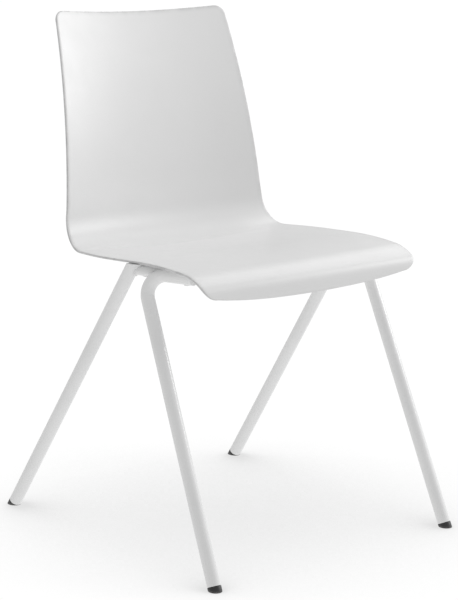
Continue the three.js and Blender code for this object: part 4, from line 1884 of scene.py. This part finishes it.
@dataclass(frozen=True)
class StackingPad:
    """A saddle clipped under a cross-running tube to spare the seat of the chair below."""

    node: str
    centre: tuple
    inner: float = 0.0093
    thickness: float = 0.003
    length: float = 0.026
    wrap: float = math.radians(200)
    edge: float = 0.0009
    wear: float = 0.1

    def section(self, inset: float) -> Array:
        """Outline of the C: a band along an arc with round ends, drawn in by an inset.

        Args:
            inset: How far the outline is drawn in.

        Returns:
            Points (y, z) about the tube's axis.
        """
        half = self.thickness / 2
        middle = self.inner + half
        reach = self.wrap / 2 - half / middle
        mid = -math.pi / 2
        arc = np.linspace(mid - reach, mid + reach, 40)
        turn = np.linspace(0, math.pi, 9)[1:-1]
        r = half - inset
        outer = np.stack([np.cos(arc), np.sin(arc)], 1) * (middle + r)
        inner = np.stack([np.cos(arc[::-1]), np.sin(arc[::-1])], 1) * (middle - r)

        def end_cap(angle: float, sense: int) -> Array:
            """Half circle about the end of the band's middle line.

            Args:
                angle: The end's angle.
                sense: Which way the band runs on: 1 or -1.

            Returns:
                Points of the half circle.
            """
            radial = np.array([math.cos(angle), math.sin(angle)])
            along = np.array([-math.sin(angle), math.cos(angle)]) * sense
            swing = turn[:, None]
            return radial * middle + r * (np.cos(swing) * radial * sense + np.sin(swing) * along)

        return np.concatenate([outer, end_cap(arc[-1], 1), inner, end_cap(arc[0], -1)])

    def build(self, dresser: Dresser) -> None:
        """Carries the section along the tube, drawn in at both ends for round edges.

        Args:
            dresser: Gives the pieces their finish and body.
        """
        half, edge = self.length / 2, self.edge
        turn = np.linspace(0, math.pi / 2, 6)
        near = np.stack([-half + edge * (1 - np.sin(turn)), edge * (1 - np.cos(turn))], 1)
        stations = np.concatenate([near, near[::-1] * [-1, 1]])
        rings = [self.section(inset) for _, inset in stations]
        grid = np.array([
            np.stack([np.full(len(ring), x), ring[:, 0], ring[:, 1]], 1)
            for (x, _), ring in zip(stations, rings)
        ]) + np.array(self.centre)
        skin = Skin.from_rings(grid, np.full(len(grid), self.wear))
        dresser.place(skin, f"{self.node}_saddle", Slot.BLACK, self.node)


# ---------------------------------------------------------------- studio


@dataclass(frozen=True)
class Lamp:
    """A square area light aimed at a point."""

    name: str
    at: tuple
    target: tuple
    size: float
    power: float

    def build(self) -> None:
        """Puts the light into the scene."""
        data = bpy.data.lights.new(self.name, "AREA")
        data.shape, data.size, data.energy = "SQUARE", self.size, self.power
        light = bpy.data.objects.new(self.name, data)
        light.location = self.at
        away = Vector(self.target) - Vector(self.at)
        light.rotation_euler = away.to_track_quat("-Z", "Y").to_euler()
        bpy.context.scene.collection.objects.link(light)


@dataclass(frozen=True)
class Studio:
    """Pale floor, white surroundings, soft light and the camera.

    The floor is seen by its shade, which the ramp takes from how open the sky is above it, and it
    lights the chair by a steady fill. The surroundings are seen white and light by the ambient.
    """

    floor_size: float = 40.0
    floor_fill: float = 0.88
    shade_reach: float = 0.72
    shade: tuple = (0.66, 0.93, 0.765, 1.02)
    ambient: float = 0.50
    camera_at: tuple = (-1.9596, -2.4352, 1.0122)
    camera_turn: tuple = (78.515, 0.0, -38.939)
    camera_lens: float = 113.81
    camera_sensor: float = 36.0
    lamps: tuple = (
        Lamp("key", (2.7, -0.9, 1.7), (0, 0, 0.5), 1.6, 47),
        Lamp("top", (0.0, 0.0, 2.6), (0, 0, 0.4), 2.2, 11),
        Lamp("rim", (2.0, 0.6, 2.4), (0, 0, 0.5), 1.6, 11),
    )

    def floor(self) -> None:
        """A large plane at z = 0 that lets light and sight through from below."""
        cells = 12
        line = np.linspace(-self.floor_size / 2, self.floor_size / 2, cells + 1)
        x, y = np.meshgrid(line, line)
        points = np.stack([x.ravel(), y.ravel(), np.zeros(x.size)], 1)
        quads = grid_quads(cells + 1, cells + 1, False, False)
        plane = Skin(points, quads).to_object("studio_floor")
        made = bpy.data.materials.new("studio_floor")
        made.use_nodes = True
        graph = Graph(made.node_tree)
        seen = graph.node("ShaderNodeLightPath").outputs["Is Camera Ray"]
        open_sky = graph.node(
            "ShaderNodeAmbientOcclusion", {"Distance": self.shade_reach}, samples=16
        ).outputs["AO"]
        shade = graph.ramp(open_sky, *self.shade)
        change = graph.math("MULTIPLY", seen, graph.math("SUBTRACT", shade, self.floor_fill))
        strength = graph.math("ADD", self.floor_fill, change)
        shader = graph.node("ShaderNodeEmission", {"Strength": strength})
        clear = graph.node("ShaderNodeBsdfTransparent")
        back = graph.node("ShaderNodeNewGeometry").outputs["Backfacing"]
        sides = {1: shader.outputs[0], 2: clear.outputs[0]}
        both = graph.node("ShaderNodeMixShader", {0: back, **sides})
        graph.node("ShaderNodeOutputMaterial", {"Surface": both.outputs[0]})
        made.cycles.emission_sampling = "NONE"
        plane.data.materials.append(made)

    def surroundings(self) -> None:
        """White all round, seen and as light."""
        world = bpy.data.worlds.new("studio")
        bpy.context.scene.world = world
        world.use_nodes = True
        graph = Graph(world.node_tree)
        seen = graph.node("ShaderNodeLightPath").outputs["Is Camera Ray"]
        strength = graph.ramp(seen, 0.0, 1.0, self.ambient, 1.0)
        back = graph.node("ShaderNodeBackground", {"Color": (1, 1, 1, 1), "Strength": strength})
        graph.node("ShaderNodeOutputWorld", {"Surface": back.outputs[0]})

    def camera(self) -> None:
        """The long-lens camera in front of the chair and to its right."""
        data = bpy.data.cameras.new("camera")
        data.lens, data.sensor_width = self.camera_lens, self.camera_sensor
        camera = bpy.data.objects.new("camera", data)
        camera.location = self.camera_at
        camera.rotation_euler = [math.radians(a) for a in self.camera_turn]
        bpy.context.scene.collection.objects.link(camera)
        bpy.context.scene.camera = camera

    def build(self) -> None:
        """Sets up the whole studio."""
        self.floor()
        self.surroundings()
        for lamp in self.lamps:
            lamp.build()
        self.camera()
        bpy.context.scene.view_settings.view_transform = "Standard"


def main() -> None:
    """Builds every sub-assembly, checks its size and sets up the studio."""
    logging.basicConfig(level=logging.INFO, format="%(name)s: %(message)s")
    layout = Layout()
    mounts = mounts_of(layout)
    dresser = Dresser()
    layout.shell.build(dresser, mounts)
    TubeFrame(layout).build(dresser)
    for mount in mounts:
        Fixing(mount).build(dresser)
    for hand in Hand:
        for end in End:
            Glide(hand, end, layout).build(dresser)
        RailPlug(hand, layout).build(dresser)
        RearLegCap(hand, layout).build(dresser)
        for end, x, y, z in (
            (End.FRONT, 0.132, layout.cross_y, layout.cross_z),
            (End.REAR, 0.035, layout.hoop_rear_y, layout.hoop_z),
        ):
            node = f"{end.word}_{hand.word}_stacking_pad"
            StackingPad(node, (hand.value * x, y, z)).build(dresser)
    Studio().build()


if __name__ == "__main__":
    main()
